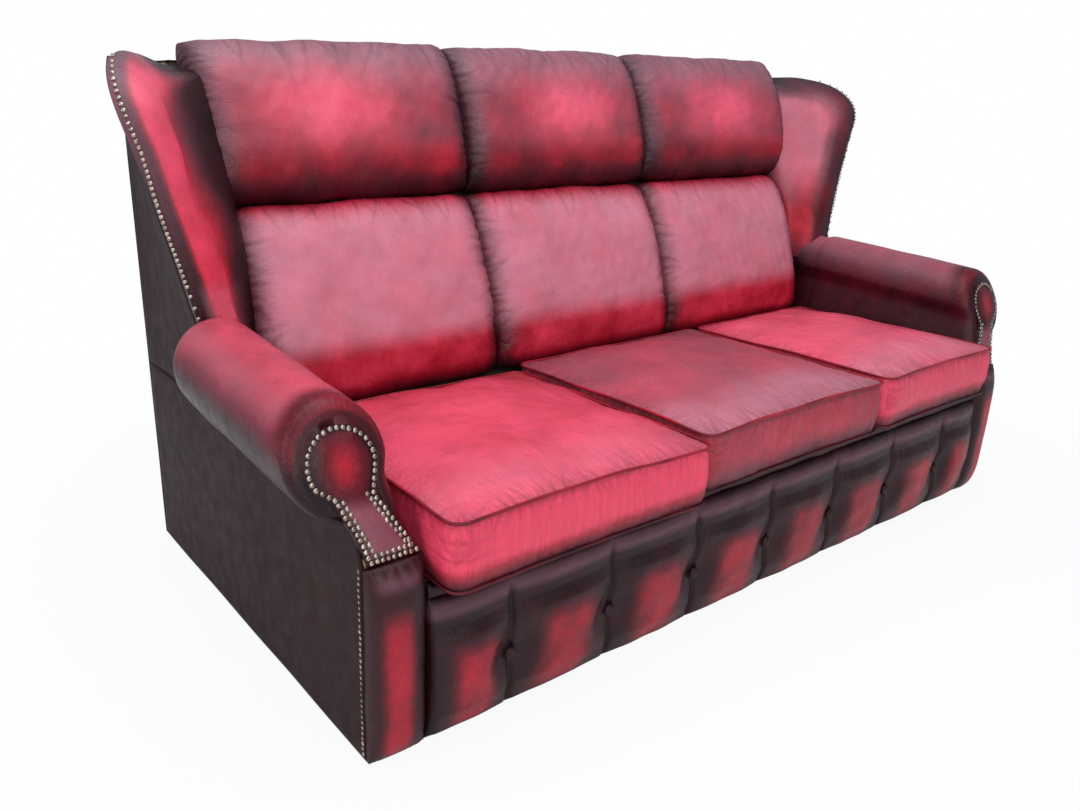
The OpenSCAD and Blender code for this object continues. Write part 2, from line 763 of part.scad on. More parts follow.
// Front border: flutes between pleats, with a dip at each button and a roll along the top
border_edge_t = 7;
tuft_flat = 22;
tuft_reach = 70;
pleat_near = 15;
flute_shares = [0.27, 0.5, 0.73];
border_row_shares = [1, 0.93, 0.86, 0.81, 0.66];
border_low_shares = [0.2, 0.06, 0];
border_row_zs = concat([for (s = border_row_shares) s * border_h],
    [button_z + pleat_near, button_z, button_z - pleat_near],
    [for (s = border_low_shares) s * border_h]);
border_base_shares = [0.6, 1, 0.96, 0.7, 0.98, 1, 1, 1, 0.92, 0.55, 0];
border_swell_shares = [0.1, 0.3, 0.3, 0.3, 0.9, 1, 1, 1, 0.85, 0.5, 0];
button_xs = [for (k = [0:button_count - 1]) (k - (button_count - 1) / 2) * button_pitch];
pleat_xs = concat([-half_seat + 3 * fit], button_xs, [half_seat - 3 * fit]);

function button_distance(x, z) = min([for (b = button_xs) norm([x - b, z - button_z])]);
function border_t(x, z, s, row) = let (
    tuft = 1 - ease((button_distance(x, z) - tuft_flat) / (tuft_reach - tuft_flat)),
    swell = flute_swell * border_swell_shares[row] * pow(bump(s, 2.4), 0.8) * (1 - tuft))
    border_edge_t + (pleat_t - border_edge_t) * border_base_shares[row] + swell;
function border_ring(x, s) = let (back = post_y0 - fit) concat(
    [[x, back, base_z], [x, back, border_top]],
    [for (row = [0:len(border_row_zs) - 1]) let (z = border_row_zs[row])
        [x, back - border_t(x, z, s, row), base_z + z]]);
module front_border() {
    rings = concat([for (k = [0:len(pleat_xs) - 2]) let (x0 = pleat_xs[k], w = pleat_xs[k + 1] - x0)
        each concat([border_ring(x0, 1), border_ring(x0 + pleat_near, 1 - 2 * pleat_near / w)],
            [for (f = flute_shares) border_ring(x0 + f * w, 2 * f - 1)],
            [border_ring(x0 + w - pleat_near, 1 - 2 * pleat_near / w)])],
        [border_ring(pleat_xs[len(pleat_xs) - 1], 1)]);
    color("#7a131b") skin(rings);
}

// A cap of a sphere, flat at the origin and rising along Z
module cap(r, h) {
    ball = (r * r + h * h) / (2 * h);
    intersection() {
        translate([0, 0, h - ball]) sphere(ball);
        cylinder(r = r + h, h = h + over);
    }
}

module border_buttons() {
    color("#2c0d10")
        for (x = button_xs)
            translate([x, post_y0 - pleat_t - 2 * fit, base_z + button_z]) rotate([90, 0, 0])
                cap(button_r, button_r * 0.55);
}

// Nails round the facings, down the posts and along the wings

function steps_between(a, b) = max(1, round(norm(b - a) / nail_pitch));
function nails_on(a, b) = let (n = steps_between(a, b)) [for (k = [0:n - 1]) a + (b - a) * k / n];
nail_inset = nail_r + 2 * fit;
facing_rows = 2;
row_step = 2.3 * nail_r;

// One row of nails round the disc, inside the facing's edge
ring_start = -30;
ring_span = 232;
function ring_point(a) = [roll_x, lean_roll_z] + (facing_r - nail_inset) * [cos(a), sin(a)];
function ring_row() = let (n = floor((facing_r - nail_inset) * ring_span * PI / 180 / nail_pitch))
    [for (k = [0:n - 1]) ring_point(ring_start + ring_span * k / n)];

// Rows down and round the neck; the outermost one joins the ends of the disc's row
function neck_row(row) = let (
    d = nail_inset + row * row_step,
    inner = facing_side(facing_inner_shares),
    outer = facing_side(facing_outer_shares),
    path = concat(row == 0 ? [ring_point(ring_start + ring_span)] : [],
        [inner[2] + [d, 0], inner[1] + [d, 0], inner[0] + [d, d]],
        [outer[0] + [-d, d], outer[1] - [d, 0], outer[2] + [-d, d / 2]],
        row == 0 ? [ring_point(ring_start)] : []))
    [for (k = [0:len(path) - 2]) each nails_on(path[k], path[k + 1])];

module facing_nails() {
    for (p = concat(ring_row(), [for (row = [0:facing_rows - 1]) each neck_row(row)]))
        on_lean() translate([p[0], arm_front_y - fit / 3, p[1]]) rotate([90, 0, 0])
            cap(nail_r, nail_h);
}

module post_nails() {
    n = floor((facing_foot - base_z) / nail_pitch);
    for (k = [1:n])
        translate([half_base + fit / 3, post_y0 + 1.6 * nail_r, base_z + k * nail_pitch])
            rotate([0, 90, 0]) cap(nail_r, nail_h);
}

// Wing nails lie along the front of the outside wing panel and turn with its face
wing_nail_z0 = wing_foot + nail_pitch / 2;
wing_nail_z1 = wing_top - (wing_top - wing_turn) * 0.12;
function wing_nail(z) = let (y = sheet_front(z) + 2 * nail_r) [wing_out(y, z), y, z];
module wing_nails() {
    span = wing_nail_z1 - wing_nail_z0;
    n = floor(1.06 * span / nail_pitch);
    probe = nail_r;
    for (k = [0:n]) {
        p = wing_nail(wing_nail_z0 + span * k / n);
        turn_z = atan((wing_out(p[1] + probe, p[2]) - wing_out(p[1] - probe, p[2])) / (2 * probe));
        turn_y = atan((wing_out(p[1], p[2] + probe) - wing_out(p[1], p[2] - probe)) / (2 * probe));
        translate(p + [2 * fit, 0, 0]) rotate([0, turn_y, -turn_z]) rotate([0, 90, 0])
            cap(nail_r, nail_h);
    }
}

module nailheads() {
    color("#b9a184")
        for (side = [0, 1]) mirror([side, 0, 0]) {
            facing_nails();
            post_nails();
            wing_nails();
        }
}

// Back pads

// A point of a pad's profile: back from the pads' plane, and up the rake
function pad_point(t, foot, h, thick, mid) = let (
    c = cos(t), s = sin(t),
    across = thick * (c < 0 ? pad_front_share : 1 - pad_front_share))
    [mid + across * signed_power(c, 2 / pad_power), foot + h / 2 + h / 2 * signed_power(s, 2 / pad_power)];

module back_pad(x0, x1, foot, h, thick, mid) {
    half = (x1 - x0) / 2;
    rings = [for (k = [0:len(pad_end_shares) - 1]) let (
        depth_k = pad_end_depth_shares[k], height_k = pad_end_height_shares[k])
        [for (j = [0:pad_turns - 1]) let (
            p = pad_point(360 * (j + 0.5) / pad_turns, foot, h, thick, mid),
            back = p[0] - mid)
            [x0 + half * (1 + pad_end_shares[k]), mid + back * (back > 0 ? 1 : depth_k),
                foot + h / 2 + (p[1] - foot - h / 2) * height_k]]];
    on_rake() skin(rings);
}

lumbar_xs = [-half_seat, -pad_seam, pad_seam, half_seat];
module lumbar_pad(place) {
    color("#9a2a3c")
        back_pad(lumbar_xs[place] + pad_gap, lumbar_xs[place + 1] - pad_gap,
            lumbar_foot, lumbar_h, lumbar_t, lumbar_mid);
}

// The head pads lie in the lumbar pads' plane, and their thickness swells out over them
head_mid = pad_back_n - head_t * (1 - pad_front_share);
head_xs = [-head_row_w / 2, -pad_seam, pad_seam, head_row_w / 2];
module head_pad(place) {
    color("#a02034")
        back_pad(head_xs[place] + pad_gap, head_xs[place + 1] - pad_gap,
            head_foot, head_h, head_t, head_mid);
}

// Seat cushions

corner_signs = [[1, 1], [-1, 1], [-1, -1], [1, -1]];
function corner_point(q, a, w, d, r) =
    [(w / 2 - r) * corner_signs[q][0] + r * cos(a), (d / 2 - r) * corner_signs[q][1] + r * sin(a)];
function drawn_in(p, w, d) = [
    p[0] * (1 - 2 * cushion_pull / w * bump(2 * p[1] / d, 2)),
    p[1] * (1 - 2 * cushion_pull / d * bump(2 * p[0] / w, 2))];

// Rounded rectangle whose sides pull in between the corners
function cushion_outline(w, d, r) = [for (q = [0:3]) each concat(
    [for (k = [0:corner_steps]) drawn_in(corner_point(q, 90 * (q + k / corner_steps), w, d, r), w, d)],
    [for (m = [1:side_steps - 1]) let (
        a = corner_point(q, 90 * (q + 1), w, d, r),
        b = corner_point((q + 1) % 4, 90 * (q + 1), w, d, r))
        drawn_in(a + (b - a) * m / side_steps, w, d)])];

function crown_z(p, w, d) =
    seam_high + cushion_crown * bump(2 * p[0] / w, crown_power) * bump(2 * p[1] / d, crown_power);
function flat_ring(points, z) = [for (p = points) [p[0], p[1], z]];

module cushion_form(w, d) {
    r = cushion_corner_r;
    edge = cushion_outline(w, d, r);
    belly = cushion_outline(w + 2 * boxing_belly, d + 2 * boxing_belly, r + boxing_belly);
    foot = cushion_outline(w - 2 * seam_low, d - 2 * seam_low, r - seam_low);
    skin(concat([flat_ring(foot, 0), flat_ring(edge, seam_low),
        flat_ring(belly, (seam_low + seam_high) / 2), flat_ring(edge, seam_high)],
        [for (s = crown_ring_shares) [for (p = edge) let (q = p * s) [q[0], q[1], crown_z(q, w, d)]]]));
}

function cushion_w(place) = seams[place + 1] - seams[place] - 2 * cushion_inset;
cushion_cover_d = cushion_d - 2 * cushion_inset;
module on_seat(place) {
    slip = place == 0 ? cushion_slip : 0;
    translate([(seams[place] + seams[place + 1]) / 2, cushion_back_y - cushion_d / 2 - slip,
        deck_top + fit]) children();
}

module foam_block(w, d, grow) {
    block([-w / 2 + foam_wall - grow, -d / 2 + foam_wall - grow, foam_floor - grow],
          [w / 2 - foam_wall + grow, d / 2 - foam_wall + grow, seam_high - foam_floor / 2 + grow]);
}

module seat_cushion(place) {
    color("#a8192a") on_seat(place) difference() {
        cushion_form(cushion_w(place), cushion_cover_d);
        foam_block(cushion_w(place), cushion_cover_d, fit);
    }
}

module seat_foam(place) {
    color("#e8d9a8") on_seat(place) foam_block(cushion_w(place), cushion_cover_d, 0);
}

// A cord bent round a closed outline, with its own ring of points at each place
piping_sides = 6;
module piping_ring(w, d, z) {
    grow = piping_r + fit;
    path = cushion_outline(w + 2 * grow, d + 2 * grow, cushion_corner_r + grow);
    n = len(path);
    points = [for (i = [0:n - 1]) let (
        ahead = path[(i + 1) % n] - path[(i + n - 1) % n],
        side = [ahead[1], -ahead[0]] / norm(ahead))
        each [for (k = [0:piping_sides - 1]) let (a = 360 * k / piping_sides)
            [path[i][0] + side[0] * piping_r * cos(a), path[i][1] + side[1] * piping_r * cos(a),
                z + piping_r * sin(a)]]];
    faces = [for (i = [0:n - 1], k = [0:piping_sides - 1]) let (
        next_i = (i + 1) % n, next_k = (k + 1) % piping_sides,
        a = i * piping_sides + k, b = i * piping_sides + next_k,
        c = next_i * piping_sides + next_k, e = next_i * piping_sides + k)
        each [[a, b, c], [a, c, e]]];
    polyhedron(points, faces, convexity = 6);
}

module seat_piping(place) {
    color("#4a0f16") on_seat(place)
        for (z = [seam_low, seam_high]) piping_ring(cushion_w(place), cushion_cover_d, z);
}

front_base_rail();
front_seat_rail();
front_board();
back_base_rail();
back_seat_rail();
left_side() side_base_rail();  // side_base_rail_left
side_base_rail();  // side_base_rail_right
left_side() side_seat_rail();  // side_seat_rail_left
side_seat_rail();  // side_seat_rail_right
seat_cross_rails();
corner_blocks();
left_side() arm_post();  // arm_post_left
arm_post();  // arm_post_right
left_side() arm_rail();  // arm_rail_left
arm_rail();  // arm_rail_right
left_side() back_post();  // back_post_left
back_post();  // back_post_right
back_stiles();
lumbar_rail();
top_board();
left_side() wing_stile();  // wing_stile_left
wing_stile();  // wing_stile_right
seat_webbing();
back_webbing();
back_lining();
seat_deck();
deck_lip();
dust_cloth();
glides();
outside_back();
left_side() outside_arm();  // outside_arm_left
outside_arm();  // outside_arm_right
left_side() outside_wing();  // outside_wing_left
outside_wing();  // outside_wing_right
left_side() arm_cover();  // arm_cover_left
arm_cover();  // arm_cover_right
left_side() wing_pad();  // wing_pad_left
wing_pad();  // wing_pad_right
left_side() post_pad();  // post_pad_left
post_pad();  // post_pad_right
left_side() arm_facing();  // arm_facing_left
arm_facing();  // arm_facing_right
nailheads();
front_border();
border_buttons();
lumbar_pad(0);  // lumbar_pad_left
lumbar_pad(1);  // lumbar_pad_middle
lumbar_pad(2);  // lumbar_pad_right
head_pad(0);  // head_pad_left
head_pad(1);  // head_pad_middle
head_pad(2);  // head_pad_right
seat_cushion(0);  // seat_cushion_left
seat_cushion(1);  // seat_cushion_middle
seat_cushion(2);  // seat_cushion_right
seat_piping(0);  // seat_piping_left
seat_piping(1);  // seat_piping_middle
seat_piping(2);  // seat_piping_right
seat_foam(0);  // seat_foam_left
seat_foam(1);  // seat_foam_middle
seat_foam(2);  // seat_foam_right
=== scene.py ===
import json
import math

import bpy
import numpy as np
from mathutils import Matrix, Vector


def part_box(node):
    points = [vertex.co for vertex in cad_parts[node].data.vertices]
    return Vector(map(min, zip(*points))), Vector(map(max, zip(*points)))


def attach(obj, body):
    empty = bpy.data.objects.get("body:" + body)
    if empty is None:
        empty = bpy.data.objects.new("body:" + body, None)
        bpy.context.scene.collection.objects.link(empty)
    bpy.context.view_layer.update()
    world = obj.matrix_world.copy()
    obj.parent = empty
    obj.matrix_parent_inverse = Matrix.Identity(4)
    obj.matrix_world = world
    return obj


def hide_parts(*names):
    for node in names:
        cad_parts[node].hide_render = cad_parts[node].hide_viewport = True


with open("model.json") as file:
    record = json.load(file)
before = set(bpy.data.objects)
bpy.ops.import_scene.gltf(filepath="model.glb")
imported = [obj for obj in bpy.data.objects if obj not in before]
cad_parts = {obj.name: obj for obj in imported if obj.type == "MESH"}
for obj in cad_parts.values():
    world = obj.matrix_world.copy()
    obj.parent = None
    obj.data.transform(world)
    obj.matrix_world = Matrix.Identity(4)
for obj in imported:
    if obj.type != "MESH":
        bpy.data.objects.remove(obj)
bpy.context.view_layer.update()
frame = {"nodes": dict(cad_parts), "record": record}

# Sizes in metres. Those that the frame holds are read from its nodes.
BACK_LO, BACK_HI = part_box("outside_back")
BORDER_LO, BORDER_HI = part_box("front_border")
ARM_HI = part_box("arm_cover_right")[1]
POST_LO, POST_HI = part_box("post_pad_right")
LIP_LO, LIP_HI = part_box("deck_lip")
FIT = 0.0003
HALF_BASE = BACK_HI.x
BACK_Y = BACK_HI.y
BASE_Z = BACK_LO.z
HALF_SEAT = POST_LO.x
ARM_BOX = HALF_BASE - HALF_SEAT
ARM_FRONT_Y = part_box("arm_facing_right")[0].y
POST_TOP = POST_HI.z
PANEL_T = 0.004

# The scroll along the top of an arm
ROLL_R = 0.080
FACING_R = 0.69 * ROLL_R
FACING_T = 0.0065
ROLL_X = ARM_HI.x - ROLL_R
ROLL_Z = BASE_Z + 0.464
ROLL_L = 0.474
ROLL_RISE = 0.039
ROLL_END_R = 0.060
ARM_LEAN = math.radians(19)
FACING_FOOT = POST_TOP + ROLL_R / 24
LEAN_ROLL_Z = FACING_FOOT + (ROLL_Z - FACING_FOOT) / math.cos(ARM_LEAN)
ROLL_FRONT_Y = ARM_FRONT_Y + (ROLL_Z - FACING_FOOT) * math.tan(ARM_LEAN)
ROLL_Y1 = ROLL_FRONT_Y + ROLL_L
ROLL_SLOPE = ROLL_RISE / ROLL_L
RIM_R = 0.022

# The wings
WING_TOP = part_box("wing_pad_right")[1].z
WING_TURN = WING_TOP - 0.124
WING_FLARE = 0.110
WING_REACH = 0.374
WING_FRONT = BACK_Y - WING_REACH
WING_FOOT = ROLL_Z + ROLL_R + ROLL_RISE + FIT
WING_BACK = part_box("back_post_right")[0].y - 4 * FIT
WING_ROUND = 0.190
WING_SWEEP = 0.018
WING_BORDER = 0.030
WING_T = 0.062
WING_SEAM_Z = ROLL_Z - 0.061
WING_PAD_GAP = 0.004

# The back's rake, and the profiles of its pads
RAKE = math.radians(19.4)
LUMBAR_H, LUMBAR_T, LUMBAR_MID, LUMBAR_FOOT = 0.392, 0.092, 0.022, -0.030
HEAD_H, HEAD_T = 0.318, 0.106
PAD_FRONT = 0.74
PAD_POWER = 2.4

# Seat cushions
CUSHION_BELLY = 0.006
CUSHION_PULL = 0.006
CUSHION_CORNER_R = 0.028
SEAM_LOW, SEAM_HIGH = 0.008, 0.115
CUSHION_CROWN = 0.034
PIPING_R = 0.0035

# Nails
NAIL_R = 0.0038
NAIL_PITCH = 0.0096

# Steps along the three sides of each piece's grid
GRIDS = {"cushion": (168, 168, 38), "head": (170, 30, 110), "lumbar": (170, 30, 130), "outer_wing": (1, 70, 110),
         "outer_arm": (1, 220, 60), "facing": (36, 3, 90), "post": (44, 6, 120), "border": (560, 2, 84),
         "lip": (220, 10, 10), "outer_back": (160, 1, 90), "strip": (120, 12, 1), "corner_strip": (120, 6, 1)}

# Gathers in the leather: count, angle and its spread in degrees, length, width and depth
GATHERS = {
    "cushion_front": (34, 90, 18, 0.10, 0.0036, 0.0016), "cushion_back": (14, -90, 24, 0.12, 0.0042, 0.0020),
    "cushion_corner": (6, 55, 16, 0.13, 0.0042, 0.0030), "boxing": (54, -90, 26, 0.06, 0.0034, 0.0016),
    "pucker": (7, 0, 18, 0.11, 0.0040, 0.0028), "cushion_sides": (16, 90, 18, 0.06, 0.0036, 0.0012),
    "pad_ends": (17, 90, 26, 0.08, 0.0052, 0.0026), "head_folds": (12, -90, 24, 0.16, 0.0042, 0.0010),
    "lumbar_folds": (12, -90, 24, 0.10, 0.0042, 0.0010), "arm_front": (40, 0, 12, 0.05, 0.0025, 0.0012),
    "post_top": (9, -90, 16, 0.05, 0.004, 0.0018), "post_foot": (6, 90, 12, 0.03, 0.004, 0.0010),
    "border_pleat": (4, -90, 12, 0.07, 0.003, 0.0014),
}


# Numbers and shapes

def ease(t):
    t = np.clip(t, 0, 1)
    return t * t * (3 - 2 * t)


def bump(s, power):
    return 1 - np.minimum(1, np.abs(s)) ** power


def band(x, low, high, soft):
    """1 between low and high, and 0 outside them, with soft edges."""
    return ease((x - low) / soft + 0.5) * ease((high - x) / soft + 0.5)


def waves(points, seed, size, count=20):
    """A smooth random height of about -1 to 1, with bumps about size across."""
    rng = np.random.default_rng(seed)
    ways = rng.normal(size=(count, points.shape[1]))
    ways /= np.linalg.norm(ways, axis=1)[:, None]
    steps = 2 * math.pi / (size * rng.uniform(0.75, 1.7, count))
    phase = rng.uniform(0, 2 * math.pi, count)
    return np.cos(points @ (ways * steps[:, None]).T + phase).sum(1) / math.sqrt(2 * count)


def columns(*values):
    return np.column_stack(values)


def box_grid(*counts):
    """The three coordinates of even points on a cube from -1 to 1, and the quads between the points."""
    keys, quads, start = [], [], 0
    for axis in range(3):
        u, v = (axis + 1) % 3, (axis + 2) % 3
        i, j = np.meshgrid(np.arange(counts[u] + 1), np.arange(counts[v] + 1), indexing="ij")
        for end in (0, counts[axis]):
            key = np.full(i.shape + (3,), end)
            key[..., u], key[..., v] = i, j
            ids = start + np.arange(i.size).reshape(i.shape)
            quad = np.stack([ids[:-1, :-1], ids[1:, :-1], ids[1:, 1:], ids[:-1, 1:]], -1).reshape(-1, 4)
            quads.append(quad if end else quad[:, ::-1])
            keys.append(key.reshape(-1, 3))
            start += i.size
    unique, inverse = np.unique(np.concatenate(keys), axis=0, return_inverse=True)
    return (unique * 2 / np.array(counts) - 1).T, inverse.reshape(-1)[np.concatenate(quads)]


def ring_skin(rings):
    """A closed surface from rings of equal length, with a fan on each end."""
    rings = np.asarray(rings)
    m, n = rings.shape[:2]
    points = np.concatenate([rings.reshape(-1, 3), rings[0].mean(0)[None], rings[-1].mean(0)[None]])
    ids = np.arange(m * n).reshape(m, n)
    after = np.roll(ids, -1, axis=1)
    quads = np.stack([ids[:-1], after[:-1], after[1:], ids[1:]], -1).reshape(-1, 4)
    low = np.stack([np.full(n, m * n), after[0], ids[0]], -1)
    high = np.stack([np.full(n, m * n + 1), ids[-1], after[-1]], -1)
    return points, quads, np.concatenate([low, high])


def on_lean(points):
    """Leans points of the arm front back about the facing's foot."""
    ahead, up = points[:, 1] - ARM_FRONT_Y, points[:, 2] - FACING_FOOT
    return columns(points[:, 0], ARM_FRONT_Y + ahead * math.cos(ARM_LEAN) + up * math.sin(ARM_LEAN),
                   FACING_FOOT - ahead * math.sin(ARM_LEAN) + up * math.cos(ARM_LEAN))


def outward(points, faces):
    """The faces, turned round if they face into the solid."""
    corners = points[faces[:, :3]]
    volume = np.einsum("ij,ij->i", corners[:, 0], np.cross(corners[:, 1], corners[:, 2])).sum()
    if faces.shape[1] == 4:
        rest = points[faces[:, [0, 2, 3]]]
        volume += np.einsum("ij,ij->i", rest[:, 0], np.cross(rest[:, 1], rest[:, 2])).sum()
    return faces[:, ::-1] if volume < 0 else faces


def skin_outward(points, quads, fans):
    """The quads and fans of a ring skin, turned round if they face into the solid."""
    turned = outward(points, quads)
    return turned, fans if turned is quads else fans[:, ::-1]


def normals_of(points, quads):
    across = np.cross(points[quads[:, 2]] - points[quads[:, 0]], points[quads[:, 3]] - points[quads[:, 1]])
    total = np.zeros_like(points)
    for corner in range(4):
        np.add.at(total, quads[:, corner], across)
    return total / np.maximum(np.linalg.norm(total, axis=1), 1e-12)[:, None]


def round_corners(x, y, half_w, half_d, r):
    """Draws the corners of a rectangle of points in to a radius."""
    dx = np.maximum(np.abs(x) - (half_w - r), 0) / r
    dy = np.maximum(np.abs(y) - (half_d - r), 0) / r
    corner = (dx > 0) & (dy > 0)
    shrink = np.maximum(dx, dy) / np.maximum(np.hypot(dx, dy), 1e-9)
    return (np.where(corner, np.sign(x) * (half_w - r + dx * shrink * r), x),
            np.where(corner, np.sign(y) * (half_d - r + dy * shrink * r), y))


def to_superellipse(b, c, power):
    """Draws a square of points in to a superellipse."""
    most = np.maximum(np.abs(b), np.abs(c))
    size = (np.abs(b) ** power + np.abs(c) ** power) ** (1 / power)
    share = most / np.maximum(size, 1e-9)
    return b * share, c * share


def smooth_loop(points, count, blur):
    """A closed outline, spaced evenly and blurred over a length."""
    closed = np.concatenate([points, points[:1]])
    run = np.concatenate([[0], np.cumsum(np.linalg.norm(np.diff(closed, axis=0), axis=1))])
    at = np.linspace(0, run[-1], count, endpoint=False)
    loop = np.column_stack([np.interp(at, run, closed[:, k]) for k in range(closed.shape[1])])
    wave = np.fft.fftfreq(count, run[-1] / count)
    fade = np.exp(-2 * (math.pi * blur * wave[:, None]) ** 2)
    return np.fft.ifft(np.fft.fft(loop, axis=0) * fade, axis=0).real


# Creases pressed into leather, drawn as strokes on a flat map of the surface

def gathers(rng, start, end, kind, turned=0):
    """Strokes of a kind that leave the line from start to end, turned by some degrees more."""
    count, angle, spread, length, width, depth = GATHERS[kind]
    t = (np.arange(count) + rng.uniform(0.1, 0.9, count)) / count
    start, end = np.array(start), np.array(end)
    place = start + (end - start) * t[:, None]
    turn = np.radians(angle + turned + spread * rng.normal(size=count))
    size = rng.uniform(0.35, 1, count)
    return columns(place, turn, length * size, width * rng.uniform(0.7, 1.3, count),
                   depth * rng.uniform(0.5, 1, count), rng.uniform(-0.25, 0.25, count))


def creases(plane, strokes):
    """The height and the darkness that strokes give to the points of a flat map; the darkness is gathered dye and
    painted shade in the groove.
    A stroke is (u, v, turn, length, width, depth, bend), and is deepest where it starts."""
    height, dark = np.zeros(len(plane)), np.zeros(len(plane))
    for u, v, turn, length, width, depth, bend in strokes:
        along = ((plane[:, 0] - u) * math.cos(turn) + (plane[:, 1] - v) * math.sin(turn)) / length
        near = np.flatnonzero((along > 0) & (along < 1))
        s = along[near]
        across = (plane[near, 1] - v) * math.cos(turn) - (plane[near, 0] - u) * math.sin(turn)
        across = (across - bend * length * s * s) / width
        fade = (1 - s) ** 1.3
        groove = fade * np.exp(-across ** 2)
        height[near] += depth * (0.55 * fade * np.exp(-(across / 2.3) ** 2) - 1.2 * groove)
        dark[near] = np.maximum(dark[near], groove)
    return height, dark


# Materials

def new_material(name):
    material = bpy.data.materials.new(name)
    material.use_nodes = True
    return material, material.node_tree, material.node_tree.nodes["Principled BSDF"]


def feed(tree, socket, value):
    """Links a socket to an output, or sets it to a value."""
    if isinstance(value, bpy.types.NodeSocket):
        tree.links.new(value, socket)
    else:
        socket.default_value = value


def add_node(tree, kind, values=None, **inputs):
    """A shader node whose inputs are given by name, or by i and their number."""
    node = tree.nodes.new("ShaderNode" + kind)
    for key, value in (values or {}).items():
        setattr(node, key, value)
    for key, value in inputs.items():
        feed(tree, node.inputs[int(key[1:])] if key[0] == "i" and key[1:].isdigit() else node.inputs[key], value)
    return node


def dress(tree, shader, colour, rough, normal=None, specular=None):
    """Gives a shader its surface, each part an output or one value for the whole piece."""
    feed(tree, shader.inputs["Base Color"], colour)
    feed(tree, shader.inputs["Roughness"], rough)
    if normal is not None:
        feed(tree, shader.inputs["Normal"], normal)
    if specular is not None:
        feed(tree, shader.inputs["Specular IOR Level"], specular)


def calc(tree, operation, a, b):
    return add_node(tree, "Math", {"operation": operation}, i0=a, i1=b).outputs[0]


def map_range(tree, value, low, high, to_low=0.0, to_high=1.0, steps="LINEAR"):
    return add_node(tree, "MapRange", {"interpolation_type": steps}, i0=value, i1=low, i2=high, i3=to_low,
                    i4=to_high).outputs[0]


def mix_colour(tree, factor, a, b):
    return add_node(tree, "Mix", {"data_type": "RGBA"}, i0=factor, i6=a, i7=b).outputs[2]


def ramp(tree, factor, stops):
    node = add_node(tree, "ValToRGB", Fac=factor)
    elements = node.color_ramp.elements
    for k, (place, colour) in enumerate(stops):
        element = elements[k] if k < 2 else elements.new(place)
        element.position = place
        element.color = (*colour, 1)
    return node.outputs["Color"]


def place_on(tree, stretch=None):
    """Places on the piece, stretched by a factor along each axis."""
    place = add_node(tree, "TexCoord").outputs["Object"]
    return place if stretch is None else add_node(tree, "Mapping", Vector=place, Scale=stretch).outputs[0]


def noise(tree, scale, detail=4.0, rough=0.55, distortion=0.0, stretch=None):
    return add_node(tree, "TexNoise", Vector=place_on(tree, stretch), Scale=scale, Detail=detail, Roughness=rough,
                    Distortion=distortion).outputs[0]


def centred(tree, height):
    """Noise moved to lie about zero."""
    return calc(tree, "SUBTRACT", height, 0.5)


def tone(tree, name):
    return add_node(tree, "Attribute", {"attribute_name": name}).outputs["Fac"]


def bumps(tree, *heights):
    """Stacks bump maps, each (height socket, depth in metres), and gives the normal."""
    normal = None
    for height, depth in heights:
        node = add_node(tree, "Bump", Height=height, Distance=depth, Strength=1.0)
        if normal is not None:
            feed(tree, node.inputs["Normal"], normal)
        normal = node.outputs["Normal"]
    return normal


def fine_gathers(tree, stretch, strength):
    """Thin lines that run along the axis that is stretched least, where the piece's tone allows them."""
    ridge = calc(tree, "ABSOLUTE", centred(tree, noise(tree, 1.0, 3.0, 0.55, 0.6, stretch)), 0.0)
    line = map_range(tree, ridge, 0.0, 0.07, 1.0, 0.0, "SMOOTHSTEP")
    return calc(tree, "MULTIPLY", line, tone(tree, strength))


def leather_grain(tree, depth=1.0, gathered=None):
    """The normal of pebbled grain and fine creasing."""
    place = place_on(tree)
    warped = add_node(tree, "TexNoise", Vector=place, Scale=60.0, Detail=2.0)
    moved = add_node(tree, "VectorMath", {"operation": "MULTIPLY_ADD"}, i0=warped.outputs["Color"],
                     i1=(0.004, 0.004, 0.004), i2=place).outputs[0]
    heights = [] if gathered is None else [(gathered, -0.0010)]
    for scale, reach, rise in ((420.0, 0.25, 0.00016), (70.0, 0.09, 0.00010)):
        cells = add_node(tree, "TexVoronoi", {"feature": "DISTANCE_TO_EDGE"}, Vector=moved, Scale=scale)
        heights.append((map_range(tree, cells.outputs["Distance"], 0.0, reach), rise * depth))
    return bumps(tree, *heights, (noise(tree, 26.0, 5.0, 0.6), 0.0012 * depth))


# Dye colours of the antiqued leather, from the darkest, which also serves as painted shade, to the most worn
DYE_AND_SHADE_RAMP = [(0.0, (0.012, 0.003, 0.005)), (0.26, (0.040, 0.004, 0.009)), (0.48, (0.145, 0.005, 0.014)),
        (0.74, (0.440, 0.011, 0.030)), (1.0, (0.900, 0.055, 0.125))]
# Painted sheen: a pale pink reflection of the sky, mixed into a piece's colour where its tones ask for it
PAINTED_SHEEN_COLOUR = (0.70, 0.30, 0.40, 1)
# The colour of creases: gathered dye and painted shade
CREASE_DYE_AND_SHADE = (0.030, 0.006, 0.010, 1)
# How strongly patches and streaks vary the wear, and how dark drawn creases and fine gathers are painted, as
# gathered dye and painted shade
PATCHY, STREAKY = 0.42, 0.16
CREASE_MARK, GATHER_MARK = 0.38, 0.16


